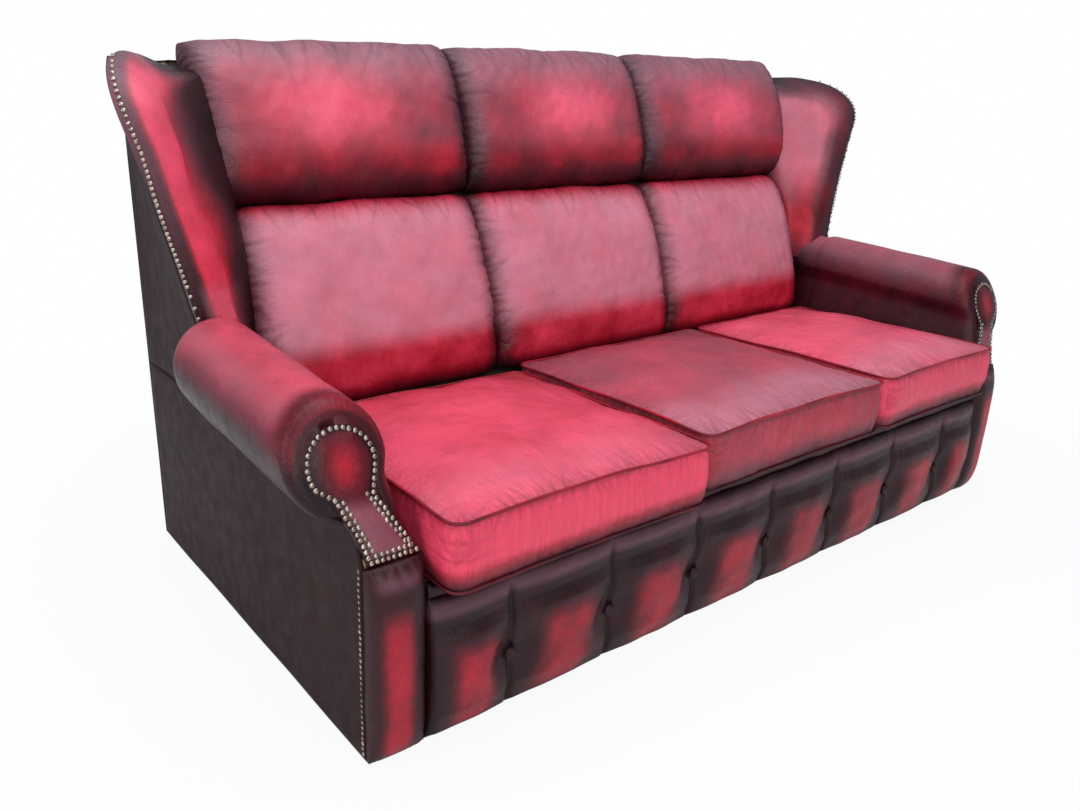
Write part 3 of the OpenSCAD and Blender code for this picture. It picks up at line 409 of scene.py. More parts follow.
def antique_leather(name, gloss):
    """Leather whose dye is rubbed away where the piece's own tones say that it is worn, darker where they paint
    shade, and with painted sheen where they ask for it.
    """
    material, tree, shader = new_material(name)
    patchy = calc(tree, "MULTIPLY", centred(tree, noise(tree, 14.0, 6.0, 0.6)), PATCHY)
    streaks = calc(tree, "MULTIPLY", centred(tree, noise(tree, 90.0, 4.0, 0.7)), STREAKY)
    wear_and_shade = calc(tree, "ADD", calc(tree, "ADD", tone(tree, "wear_and_shade"), patchy), streaks)
    # Mixes painted sheen, broken up by noise, over the dye colour
    cloudy = calc(tree, "ADD", 0.55, calc(tree, "MULTIPLY", noise(tree, 10.0, 5.0, 0.6), 0.9))
    dye_and_sheen = mix_colour(tree, calc(tree, "MULTIPLY", tone(tree, "painted_sheen"), cloudy), ramp(tree, wear_and_shade, DYE_AND_SHADE_RAMP), PAINTED_SHEEN_COLOUR)
    gathered = calc(tree, "MAXIMUM", fine_gathers(tree, (9.0, 75.0, 75.0), "across"),
                    fine_gathers(tree, (75.0, 9.0, 9.0), "down"))
    # Darkens creases and fine gathers: gathered dye, and painted shade in the grooves
    marks = calc(tree, "MAXIMUM", calc(tree, "MULTIPLY", tone(tree, "crease"), CREASE_MARK),
                 calc(tree, "MULTIPLY", gathered, GATHER_MARK))
    rough = map_range(tree, noise(tree, 35.0, 5.0, 0.6), 0.3, 0.7, gloss - 0.08, gloss + 0.10)
    dress(tree, shader, mix_colour(tree, marks, dye_and_sheen, CREASE_DYE_AND_SHADE), rough, leather_grain(tree, 1.0, gathered), 0.30)
    return material


def plain_leather(name, low, high, gloss):
    """Leather of one colour, a little uneven."""
    material, tree, shader = new_material(name)
    rough = map_range(tree, noise(tree, 30.0, 5.0, 0.6), 0.3, 0.7, gloss - 0.06, gloss + 0.10)
    dress(tree, shader, ramp(tree, noise(tree, 9.0, 6.0, 0.62), [(0.3, low), (0.7, high)]), rough,
          leather_grain(tree, 0.5), 0.14)
    return material


def nail_metal():
    material, tree, shader = new_material("antique_nail")
    colour = ramp(tree, noise(tree, 160.0, 4.0, 0.6), [(0.35, (0.20, 0.155, 0.115)), (0.62, (0.62, 0.56, 0.47))])
    dress(tree, shader, colour, map_range(tree, noise(tree, 220.0, 3.0), 0.3, 0.7, 0.22, 0.42))
    shader.inputs["Metallic"].default_value = 1.0
    return material


def wood():
    material, tree, shader = new_material("frame_wood")
    grain = noise(tree, 4.0, 8.0, 0.6, 1.2, (2.0, 14.0, 14.0))
    colour = ramp(tree, grain, [(0.3, (0.36, 0.22, 0.11)), (0.7, (0.66, 0.47, 0.28))])
    dress(tree, shader, colour, 0.7, bumps(tree, (grain, 0.0006)))
    return material


def woven(name, low, high, threads):
    """Cloth with a plain weave of that many threads a metre."""
    material, tree, shader = new_material(name)
    weave = [add_node(tree, "TexWave", {"bands_direction": way}, Vector=place_on(tree), Scale=threads / 20,
                      Distortion=0.4, Detail=1.0).outputs["Fac"] for way in "XYZ"]
    height = calc(tree, "MULTIPLY", calc(tree, "ADD", weave[0], weave[1]), calc(tree, "ADD", weave[2], 0.4))
    shade = calc(tree, "ADD", calc(tree, "MULTIPLY", height, 0.25), noise(tree, 25.0, 5.0))
    dress(tree, shader, ramp(tree, shade, [(0.45, low), (0.95, high)]), 0.9, bumps(tree, (height, 0.0004)))
    return material


def foam():
    material, tree, shader = new_material("cushion_foam")
    cells = add_node(tree, "TexVoronoi", Vector=place_on(tree), Scale=500.0).outputs["Distance"]
    colour = ramp(tree, noise(tree, 30.0, 6.0), [(0.3, (0.72, 0.60, 0.33)), (0.7, (0.86, 0.77, 0.52))])
    dress(tree, shader, colour, 0.95, bumps(tree, (cells, 0.0006)))
    return material


def moulded_plastic():
    material, tree, shader = new_material("glide_plastic")
    speckle = noise(tree, 300.0, 4.0)
    colour = ramp(tree, speckle, [(0.3, (0.015, 0.015, 0.016)), (0.7, (0.035, 0.034, 0.034))])
    dress(tree, shader, colour, 0.55, bumps(tree, (speckle, 0.0002)))
    return material


# Materials of the pieces made here, by slot
SURFACES = {
    "red_leather": antique_leather("antique_leather", 0.29),
    "cushion_leather": antique_leather("seat_leather", 0.33),
    "panel_leather": plain_leather("panel_leather", (0.019, 0.006, 0.007), (0.032, 0.010, 0.011), 0.50),
    "dark_leather": antique_leather("trim_leather", 0.36),
    "nail_metal": nail_metal(),
}


# Pieces

def add_piece(name, points, faces, slot, nodes=(), tones=None, body="sofa"):
    """A mesh with its tones of wear, painted shade and painted sheen, riding on a body of the frame."""
    mesh = bpy.data.meshes.new(name)
    lists = [face for group in (faces if isinstance(faces, list) else [faces]) for face in group.tolist()]
    mesh.from_pydata(points.tolist(), [], lists)
    mesh.update()
    mesh.shade_smooth()
    for key in ("wear_and_shade", "painted_sheen", "crease", "across", "down"):
        values = np.broadcast_to((tones or {}).get(key, 0.0), len(points)).astype(np.float32)
        mesh.attributes.new(key, "FLOAT", "POINT").data.foreach_set("value", values)
    mesh.materials.append(SURFACES[slot])
    piece = bpy.data.objects.new(name, mesh)
    bpy.context.scene.collection.objects.link(piece)
    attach(piece, body)
    if nodes:
        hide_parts(*nodes)


def add_side(name, node, side, points, faces, slot="red_leather", tones=None):
    """Adds a piece drawn for the right-hand side, mirrored if it belongs on the left."""
    if side == "left":
        points, faces = points * (-1, 1, 1), [group[:, ::-1] for group in faces]
    add_piece(name + "_" + side, points, list(faces), slot, [node + "_" + side] if node else (), tones)


def tube(path, radius, sides=8):
    """A cord along a closed path."""
    ahead = np.roll(path, -1, axis=0) - np.roll(path, 1, axis=0)
    ahead /= np.linalg.norm(ahead, axis=1)[:, None]
    side = np.cross(ahead, (0, 0, 1.0))
    side /= np.linalg.norm(side, axis=1)[:, None]
    up = np.cross(side, ahead)
    turns = np.arange(sides) * 2 * math.pi / sides
    points = (path[:, None] + radius * (side[:, None] * np.cos(turns)[None, :, None]
                                        + up[:, None] * np.sin(turns)[None, :, None])).reshape(-1, 3)
    ids = np.arange(len(points)).reshape(len(path), sides)
    after, around = np.roll(ids, -1, axis=0), np.roll(ids, -1, axis=1)
    quads = np.stack([ids, around, np.roll(after, -1, axis=1), after], -1).reshape(-1, 4)
    return points, quads


# Seat cushions

# Each cushion's tones of wear and painted shade on its top and boxing, its painted sheen, and how far it sinks
CUSHIONS = {
    "left": {"seed": 11, "wear_and_shade": 0.96, "boxing": 0.98, "painted_sheen": 0.10, "sag": 0.005},
    "middle": {"seed": 12, "wear_and_shade": 0.68, "boxing": 0.48, "painted_sheen": 0.22, "sag": 0.0},
    "right": {"seed": 13, "wear_and_shade": 0.98, "boxing": 0.98, "painted_sheen": 0.20, "sag": 0.0},
}


def cushion_point(a, b, c, size, seed):
    """A place on a cushion from a place on the cube: a crowned, rounded block with drawn-in sides."""
    w, d, foot = size
    grow = CUSHION_BELLY * (1 - c * c)
    half_w, half_d = w / 2 + grow, d / 2 + grow
    x, y = round_corners(a * half_w, b * half_d, half_w, half_d, CUSHION_CORNER_R + grow)
    pull = 2 * CUSHION_PULL
    x, y = x * (1 - pull / w * bump(2 * y / d, 2)), y * (1 - pull / d * bump(2 * x / w, 2))
    edge = np.maximum(np.abs(a), np.abs(b))
    z = SEAM_LOW + (SEAM_HIGH - SEAM_LOW) * (c + 1) / 2
    z = np.where(c >= 1, SEAM_HIGH + CUSHION_CROWN * bump(2 * x / w, 3) * bump(2 * y / d, 3), z)
    z = np.where(c <= -1, SEAM_LOW * ease((edge - 0.88) / 0.12), z)
    points = np.column_stack([x, y, z])
    seam_wave = waves(points[:, :2], seed + 40, 0.16) * 0.0016
    points[:, 2] += seam_wave * ease((z - 0.03) / 0.06)
    return points + (0, 0, foot)


def sag(points, size, look):
    """How far a cushion has sunk beside its neighbour."""
    return look["sag"] * ease(points[:, 0] / size[0] + 0.3) * ease((points[:, 2] - size[2] - 0.03) / 0.07)


def cushion_strokes(rng, w, d):
    """Gathers on a cushion's top, from its four seams, and on its sides."""
    front = gathers(rng, (-w / 2, -d / 2), (w / 2, -d / 2), "cushion_front")
    side = [gathers(rng, (e * w / 2, -d / 2), (e * w / 2, d / 2), "cushion_sides", e * 90) for e in (-1, 1)]
    back = gathers(rng, (-w / 2, d / 2), (w / 2, d / 2), "cushion_back")
    corner = gathers(rng, (-w / 2, -d / 2), (-w / 2 + 0.03, -d / 2), "cushion_corner")
    boxing = gathers(rng, (-w / 2, 0), (w / 2, 0), "boxing")
    pucker = gathers(rng, (-w / 2, -0.02), (-w / 2, -0.07), "pucker")
    return np.concatenate([front, *side, back, corner]), np.concatenate([boxing, pucker])


def seat_cushion(place, look):
    low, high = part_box("seat_cushion_" + place)
    w, d = high.x - low.x - 2 * CUSHION_BELLY, high.y - low.y - 2 * CUSHION_BELLY
    middle = ((low.x + high.x) / 2, (low.y + high.y) / 2, 0)
    size = (w, d, low.z)
    (a, b, c), quads = box_grid(*GRIDS["cushion"])
    points = cushion_point(a, b, c, size, look["seed"])
    points[:, 2] -= sag(points, size, look)
    top_strokes, boxing_strokes = cushion_strokes(np.random.default_rng(look["seed"]), w, d)
    normals = normals_of(points, quads)
    top_height, top_dark = creases(points[:, :2], top_strokes)
    around = np.where(np.abs(b) >= 1, points[:, 0], points[:, 1])
    side_height, side_dark = creases(columns(around, points[:, 2] - low.z - SEAM_HIGH), boxing_strokes)
    on_top = (c >= 1) * 1.0
    on_side = (np.abs(c) < 1) * 1.0
    height = on_top * top_height + on_side * side_height
    height += 0.0016 * waves(points, look["seed"] + 1, 0.10) + 0.0006 * waves(points, look["seed"] + 2, 0.03)
    points = points + normals * height[:, None]

    from_edge = np.minimum(w / 2 - np.abs(points[:, 0]), d / 2 - np.abs(points[:, 1]))
    # The top: darker near its edges, towards the back and towards the right
    wear_and_shade_top = look["wear_and_shade"] * (0.90 + 0.10 * ease(from_edge / 0.03))
    wear_and_shade_top -= 0.16 * ease(points[:, 1] / d + 0.1) + 0.08 * ease(points[:, 0] / w + 0.2)
    from_front = (points[:, 1] + d / 2) / d - 0.03 * waves(points[:, :2], look["seed"] + 4, 0.2)
    near_front = np.exp(-((from_front - 0.10) / 0.13) ** 2)
    wear_and_shade_top += 0.07 * waves(points[:, :2], look["seed"] + 3, 0.2)
    boxing_share = (points[:, 2] - low.z) / SEAM_HIGH
    # The boxing: darker towards the bottom, painted shade in a band under the top seam, and darker towards the
    # right on the front and back
    wear_and_shade_side = 0.38 + look["boxing"] * ease((boxing_share - 0.05) / 0.42) * (0.60 + 0.10 * b * b)
    wear_and_shade_side -= 0.16 * band(boxing_share, 0.92, 1.2, 0.1)
    wear_and_shade_side -= 0.30 * ease(points[:, 0] / w - 0.30) * (np.abs(b) >= 1)
    # Painted sheen on the top, strongest near the front, and fainter on the boxing
    tones = {"wear_and_shade": on_top * wear_and_shade_top + on_side * wear_and_shade_side,
             "painted_sheen": look["painted_sheen"] * (on_top * (1 + 1.6 * near_front) + 0.5 * on_side),
             "crease": on_top * top_dark + on_side * side_dark,
             "down": np.where(on_top > 0, 0.5 * ease((0.16 - (points[:, 1] + d / 2)) / 0.14), 0.5 * on_side),
             "across": on_top * 0.6 * ease((0.10 - (w / 2 - np.abs(points[:, 0]))) / 0.09)}
    add_piece("cushion_" + place, points + middle, quads, "cushion_leather", ["seat_cushion_" + place], tones,
              "cushion_" + place)
    seat_piping(place, size, middle, look)


def seat_piping(place, size, middle, look):
    """Cords sewn into the two seams of a cushion."""
    seed, count = look["seed"], 70
    t = np.linspace(-1, 1, count, endpoint=False)
    one = np.ones(count)
    a = np.concatenate([t, one, -t, -one])
    b = np.concatenate([-one, t, one, -t])
    points, quads, start = [], [], 0
    for c, drop in ((-1, -0.001), (1, 0.0)):
        grown = (size[0] + 1.6 * PIPING_R, size[1] + 1.6 * PIPING_R, size[2])
        path = cushion_point(a, b, np.full(4 * count, float(c)), grown, seed) + (0, 0, drop)
        path[:, 2] -= sag(path, size, look)
        cord, faces = tube(path, PIPING_R * 0.75)
        points.append(cord)
        quads.append(faces + start)
        start += len(cord)
    points = np.concatenate(points)
    high = ease((points[:, 2] - size[2] - 0.05) / 0.02)
    tones = {"wear_and_shade": 0.30 + 0.30 * high + 0.12 * waves(points, seed + 5, 0.12)}
    add_piece("piping_" + place, points + middle, outward(points, np.concatenate(quads)), "dark_leather",
              ["seat_piping_" + place], tones, "cushion_" + place)


for place, look in CUSHIONS.items():
    seat_cushion(place, look)


# Back pads

def pad_profile(b, c, foot, height, thick, mid):
    """Back from the pads' plane, and up the rake, for a square of points."""
    n, v = to_superellipse(b, c, PAD_POWER)
    n = n * thick * np.where(n < 0, PAD_FRONT, 1 - PAD_FRONT)
    return mid + n, foot + height / 2 * (1 + v)


def profile_edge():
    """The lumbar pads' foremost place and highest place, from the rake's own origin."""
    t = np.linspace(-1, 1, 200)
    one = np.ones(200)
    n, v = pad_profile(np.concatenate([-one, t]), np.concatenate([t, one]), LUMBAR_FOOT, LUMBAR_H, LUMBAR_T,
                       LUMBAR_MID)
    y = n * math.cos(RAKE) + v * math.sin(RAKE)
    z = -n * math.sin(RAKE) + v * math.cos(RAKE)
    return y.min(), z.max()


LUMBAR_LO, LUMBAR_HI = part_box("lumbar_pad_middle")
LUMBAR_FRONT, LUMBAR_TOP = profile_edge()
RAKE_Y, RAKE_Z = LUMBAR_LO.y - LUMBAR_FRONT, LUMBAR_HI.z - LUMBAR_TOP
HEAD_MID = LUMBAR_T * (1 - PAD_FRONT) + LUMBAR_MID - HEAD_T * (1 - PAD_FRONT)
HEAD_FOOT = LUMBAR_FOOT + LUMBAR_H + FIT


def on_rake(x, n, v):
    return columns(x, RAKE_Y + n * math.cos(RAKE) + v * math.sin(RAKE),
                   RAKE_Z - n * math.sin(RAKE) + v * math.cos(RAKE))


def pad_strokes(rng, half, foot, height, kind):
    """Gathers at both ends, and long slack creases between them."""
    top = foot + height
    ends = [gathers(rng, (e * half, foot + 0.03), (e * half, top - 0.02), "pad_ends", 90 * e) for e in (-1, 1)]
    falls = gathers(rng, (-0.8 * half, top - 0.01), (0.8 * half, top - 0.01), kind + "_folds")
    return np.concatenate([*ends, falls])


# Where each head pad is worn most and carries most painted sheen, and how far its outer end hangs down
PATCH_AT = {"left": -0.15, "middle": 0.08, "right": 0.05}
PAD_DROOP = {"left": 0.016, "middle": 0.004, "right": 0.0}
PAD_FORMS = {
    "head": (HEAD_FOOT, HEAD_H, HEAD_T, HEAD_MID),
    "lumbar": (LUMBAR_FOOT, LUMBAR_H, LUMBAR_T, LUMBAR_MID),
}


def back_pad(kind, place, seed):
    low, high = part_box(kind + "_pad_" + place)
    foot, height, thick, mid = PAD_FORMS[kind]
    half, centre = (high.x - low.x) / 2, (high.x + low.x) / 2
    (a, b, c), quads = box_grid(*GRIDS[kind])
    n, v = pad_profile(b, c, foot, height, thick, mid)
    end_depth = 0.46 + 0.54 * np.sqrt(np.maximum(0, 1 - np.abs(a) ** 9))
    n = mid + (n - mid) * np.where(n < mid, end_depth, 1)
    v = foot + height / 2 + (v - foot - height / 2) * (1 - 0.03 * np.abs(a) ** 14)
    x = a * half
    flat = columns(x, v)
    rise, dark = creases(flat, pad_strokes(np.random.default_rng(seed), half, foot, height, kind))
    front = (n < mid + 0.01) * 1.0
    rise = rise * front + 0.0022 * waves(flat, seed + 1, 0.13) + 0.0007 * waves(flat, seed + 2, 0.035)
    v = v - PAD_DROOP[place] * (1 - a) / 2 * ease(((v - foot) / height - 0.4) / 0.6) * (kind == "head")
    points = on_rake(x, n, v)
    points += normals_of(points, quads) * rise[:, None]

    share = (v - foot) / height
    across = np.abs(a)
    end = ease((across - 0.80) / 0.2)
    # Painted shade on the head pads' lower faces, at the ends of every pad and at the foot of the lumbar pads;
    # painted sheen over the head pads' upper parts and most of the lumbar pads' fronts, and a painted highlight on
    # the left ends
    if kind == "head":
        patch = np.exp(-((a - PATCH_AT[place]) / 0.55) ** 2 - ((share - 0.50) / 0.24) ** 2)
        wear_and_shade = 0.52 + 0.50 * patch - 0.34 * end
        wear_and_shade -= 0.26 * ease((0.16 - share) / 0.14) + 0.18 * ease((share - 0.7) / 0.2)
        wear_and_shade += 0.16 * band(share, 0.10, 0.30, 0.1) * ease(a)
        painted_sheen = 0.20 * ease((share - 0.50) / 0.35) + 0.14 * band(share, 0.25, 1.2, 0.2) + 0.10 * patch
    else:
        wear_and_shade = 0.80 - 0.40 * end - 0.30 * ease((0.10 - share) / 0.1)
        painted_sheen = 0.62 * band(share, 0.26, 0.93, 0.14)
    lit_end = band(a, -0.97, -0.84, 0.16) * band(share, 0.15, 0.85, 0.2)
    tones = {"wear_and_shade": wear_and_shade + 0.05 * waves(flat, seed + 3, 0.1),
             "painted_sheen": painted_sheen * (1 - 0.6 * end) + 0.10 * lit_end,
             "crease": dark * front,
             "across": 0.35 * ease((across - 0.66) / 0.3),
             "down": 0.5 * ease((np.abs(share - 0.5) - 0.30) / 0.2)}
    add_piece(kind + "_rest_" + place, points + (centre, 0, 0), quads, "red_leather", [kind + "_pad_" + place],
              tones)


for number, place in enumerate(("left", "middle", "right")):
    back_pad("lumbar", place, 20 + number)
    back_pad("head", place, 30 + number)


# Wings

def wing_edge(z):
    """The wing's front edge at a height."""
    rise = np.clip((z - WING_TURN) / (WING_TOP - WING_TURN), 0, 1)
    sweep = np.maximum(0, (WING_TURN - z) / (WING_TURN - WING_FOOT))
    return WING_FRONT - WING_SWEEP * sweep ** 1.5 + WING_ROUND * (1 - np.sqrt(1 - rise ** 2))


def wing_out(y, z):
    """The wing's outer face at a depth and a height."""
    flare = np.maximum(0, (z - WING_SEAM_Z) / (WING_TURN - WING_SEAM_Z)) ** 1.5
    return HALF_BASE + WING_FLARE * flare * np.maximum(0, (BACK_Y - y) / WING_REACH) ** 1.3


def wing_outline():
    turn = np.linspace(0, math.pi / 2, 24)
    front_z = np.linspace(WING_TURN, WING_FOOT, 30)
    corners = np.concatenate([
        [[wing_edge(WING_FOOT), WING_FOOT], [WING_BACK, WING_FOOT], [WING_BACK, WING_TOP]],
        columns(WING_FRONT + WING_ROUND * (1 - np.sin(turn)), WING_TURN + (WING_TOP - WING_TURN) * np.cos(turn)),
        columns(wing_edge(front_z), front_z)[1:-1]])
    return smooth_loop(corners, 220, 0.008)


# Each wing's tones, painted lit or shaded by how the light falls on that side: its front rim, its inner face and
# its painted sheen; shade sets how far from the pads the painted shade begins, and reach how far the inner tone
# goes
WING_LOOKS = {
    "left": {"front": 0.74, "inner": 0.20, "painted_sheen": 0.15, "shade": 0.12, "reach": 0.86},
    "right": {"front": 0.10, "inner": 0.50, "painted_sheen": 0.46, "shade": 0.02, "reach": 1.04},
}
WING_HUB = 0.03


def arm_top_z(x, y):
    """The height of the scroll's top at a place, with its rounded back end."""
    past = np.clip(y - ROLL_Y1 + ROLL_END_R, 0, 0.98 * ROLL_END_R)
    r = ROLL_R - ROLL_END_R + np.sqrt(ROLL_END_R ** 2 - past ** 2)
    axis = ROLL_Z + (np.minimum(y, ROLL_Y1) - ROLL_FRONT_Y) * ROLL_SLOPE
    return axis + np.sqrt(np.maximum(0, r ** 2 - (x - ROLL_X) ** 2))


def wing_skin(loop, inside, over, depth):
    """A ring of the padded wing, and its mean share of the outline. The ring is drawn in to a share of the
    outline, bulges over the rim, and lies at a share of the depth."""
    middle = np.array([(WING_FRONT + WING_BACK) / 2, (WING_FOOT + WING_TOP) / 2])
    rounded = np.maximum(ease((WING_BACK - 0.06 - loop[:, 0]) / 0.05) * ease((loop[:, 1] - WING_FOOT) / 0.05),
                         ease((loop[:, 1] - WING_TOP + 0.05) / 0.04))
    rim = (0.025 + 0.115 * rounded) * (1.0 if depth > 0.5 else 0.4)
    share = WING_HUB + (1 - rim - WING_HUB) * (inside - WING_HUB) / (1 - WING_HUB) + rim * over
    y, z = (middle + (loop - middle) * share[:, None]).T
    outer = wing_out(y, z) - 0.0006 - (PANEL_T + 0.0006) * ease((y - sheet_front(z) + 0.003) / 0.005)
    inner_x = wing_out(y, z) - PANEL_T - WING_PAD_GAP - WING_T - 0.009 * ease((z - WING_TURN + 0.10) / 0.08)
    pads_y = RAKE_Y + (z - RAKE_Z) * math.tan(RAKE)
    filled = ease((y - pads_y + 0.11) / 0.09) * ease((y - wing_edge(z)) / 0.06) * ease((depth - 0.5) / 0.4)
    inner_x += np.minimum(0, HALF_SEAT + 0.001 - inner_x) * filled
    x = outer - (outer - inner_x) * depth
    seat = np.maximum(arm_top_z(x, y) - 0.002, WING_FOOT - 0.070) - WING_FOOT
    seated = z + seat * ease((WING_FOOT + 0.045 - z) / 0.045)
    x = x + wing_out(y, seated) - wing_out(y, z)
    z = seated
    z -= 0.020 * ease((wing_out(y, z) - x - 0.02) / 0.08) * ease((z - WING_TOP + 0.10) / 0.10)
    return columns(x, y, z), share.mean()


def rim_row(turn):
    """A row of the wing over its rim, at a turn from the inner face."""
    return 1, math.sin(turn), 0.5 + 0.5 * math.cos(turn)


def wing(side, seed):
    loop = wing_outline()
    rows = [(share, 0, 1.05 - 0.05 * share ** 2) for share in np.linspace(WING_HUB, 1, 22)]
    rows += [rim_row(turn) for turn in np.linspace(0, math.pi, 17)[1:-1]]
    rows += [(share, 0, 0.0) for share in np.linspace(1, WING_HUB, 56)]
    rings, shares = zip(*[wing_skin(loop, *row) for row in rows])
    points, quads, fans = ring_skin(rings)
    share_of = np.append(np.repeat(shares, len(loop)), [0, 0])
    depth_of = np.append(np.repeat([row[2] for row in rows], len(loop)), [1, 0])
    points += normals_of(points, quads) * (0.0012 * waves(points, seed, 0.08) * (depth_of > 0.2))[:, None]
    up = (points[:, 2] - WING_FOOT) / (WING_TOP - WING_FOOT)
    reach = 0.045 + 0.045 * ease(up / 0.45)
    front = ease((share_of - 0.55) / 0.4) * ease((wing_edge(points[:, 2]) + reach - points[:, 1]) / 0.04)
    look = WING_LOOKS[side]
    inner = ease((look["reach"] - share_of) / 0.25) * (depth_of > 0.5)
    # Painted shade on the inner face near the pads
    near_pads = ease((points[:, 1] - RAKE_Y - (points[:, 2] - RAKE_Z) * math.tan(RAKE) + look["shade"]) / 0.06)
    inner = inner * (1 - near_pads)
    wear_and_shade = 0.20 + look["front"] * front * band(depth_of, 0.42, 1.5, 0.25) + look["inner"] * inner
    wear_and_shade += 0.06 * waves(points, seed + 4, 0.12) - 0.10 * near_pads
    # Painted highlights on the front rim, up its height and at its foot, painted sheen on the inner face, and
    # darker towards the top
    low_rim = band(depth_of, 0.3, 1.5, 0.2) * ease((0.14 - up) / 0.1)
    tones = {"wear_and_shade": wear_and_shade - 0.20 * ease((up - 0.85) / 0.15),
             "painted_sheen": look["painted_sheen"] * inner * ease((up - 0.1) / 0.4)
                     + 0.30 * look["front"] * front * (ease(up) + low_rim)}
    add_side("wing", "wing_pad", side, points, skin_outward(points, quads, fans), tones=tones)


def sheet_front(z):
    """The outside wing panel's front edge at a height."""
    low = ROLL_Y1 + FIT
    high = wing_edge(np.maximum(z, WING_FOOT)) + WING_BORDER
    return low + (high - low) * ease((z - WING_FOOT + 0.02) / 0.03)


def outside_wing(side, seed):
    (a, b, c), quads = box_grid(*GRIDS["outer_wing"])
    z0 = WING_SEAM_Z + FIT
    z = z0 + (WING_TOP - z0) * 0.98 * (c + 1) / 2
    front = sheet_front(z)
    y = front + (BACK_Y - PANEL_T - FIT - front) * (b + 1) / 2
    edge = np.minimum(1 - np.abs(b), 1 - np.abs(c))
    puff = 0.0012 * ease(edge / 0.04) + 0.0008 * waves(columns(y, z), seed, 0.15)
    x = wing_out(y, z) - PANEL_T * (1 - a) / 2 + np.where(a > 0, puff, 0)
    add_side("outer_wing", "outside_wing", side, columns(x, y, z), [quads], "panel_leather")


# Arms

def under_roll_z(y):
    """Where the outside arm panel meets the scroll's underside."""
    drop = math.sqrt(ROLL_R ** 2 - (ROLL_X - HALF_BASE) ** 2)
    return ROLL_Z - drop + (y - ROLL_FRONT_Y) * ROLL_SLOPE - 4 * FIT


def arm_section():
    """The arm's cross-section in X and Z, with the spine point that each place draws in to."""
    rail_top = BORDER_HI.z - 0.007
    neck = np.array([[0.18, 0.38], [0.34, 0.82], [0.42, 1.0]])
    inner = columns(HALF_SEAT + ARM_BOX * neck[:, 0], POST_TOP + (ROLL_Z - POST_TOP) * neck[:, 1])
    top = np.radians(np.linspace(186, -62, 90))
    arc = columns(ROLL_X + ROLL_R * np.cos(top), ROLL_Z + ROLL_R * np.sin(top))
    panel_x, wall_x = HALF_BASE - PANEL_T - FIT, HALF_SEAT + 0.040
    foot = [[HALF_SEAT, rail_top], [HALF_SEAT, (rail_top + POST_TOP) / 2], [HALF_SEAT, POST_TOP]]
    under = [[panel_x, under_roll_z(ROLL_FRONT_Y) - 0.004], [panel_x, FACING_FOOT], [wall_x, FACING_FOOT],
             [wall_x, rail_top]]
    loop = smooth_loop(np.concatenate([foot, inner[:2], arc, under]), 260, 0.013)
    up = ease((loop[:, 1] - POST_TOP) / (ROLL_Z - POST_TOP))
    middle = HALF_SEAT + ARM_BOX / 2
    return loop, columns(middle + (ROLL_X - middle) * up, np.minimum(loop[:, 1], ROLL_Z))


def roll_turn(points):
    """The angle of points round the scroll's axis, in degrees."""
    axis_z = ROLL_Z + (points[:, 1] - ROLL_FRONT_Y) * ROLL_SLOPE
    return np.degrees(np.arctan2(points[:, 2] - axis_z, points[:, 0] - ROLL_X))


def roll_tilt(y, z):
    """How far the arm's upper part has risen with the scroll."""
    return (y - ROLL_FRONT_Y) * ROLL_SLOPE * ease((z - POST_TOP - 0.02) / 0.08)


def near_turn(turn, middle, width):
    return np.exp(-((turn - middle) / width) ** 2)


# Each arm's tones: its base, the top of its scroll, and its painted sheen; the right arm is darker, with more
# painted sheen
ARM_LOOKS = {"left": {"base": 0.40, "top": 0.46, "painted_sheen": 0.18}, "right": {"base": 0.26, "top": 0.30, "painted_sheen": 0.30}}
# Rings on the flat front of the arm, as shares drawn out from its spine
FRONT_SHARES = (0.02, 0.35, 0.7, 1.0)


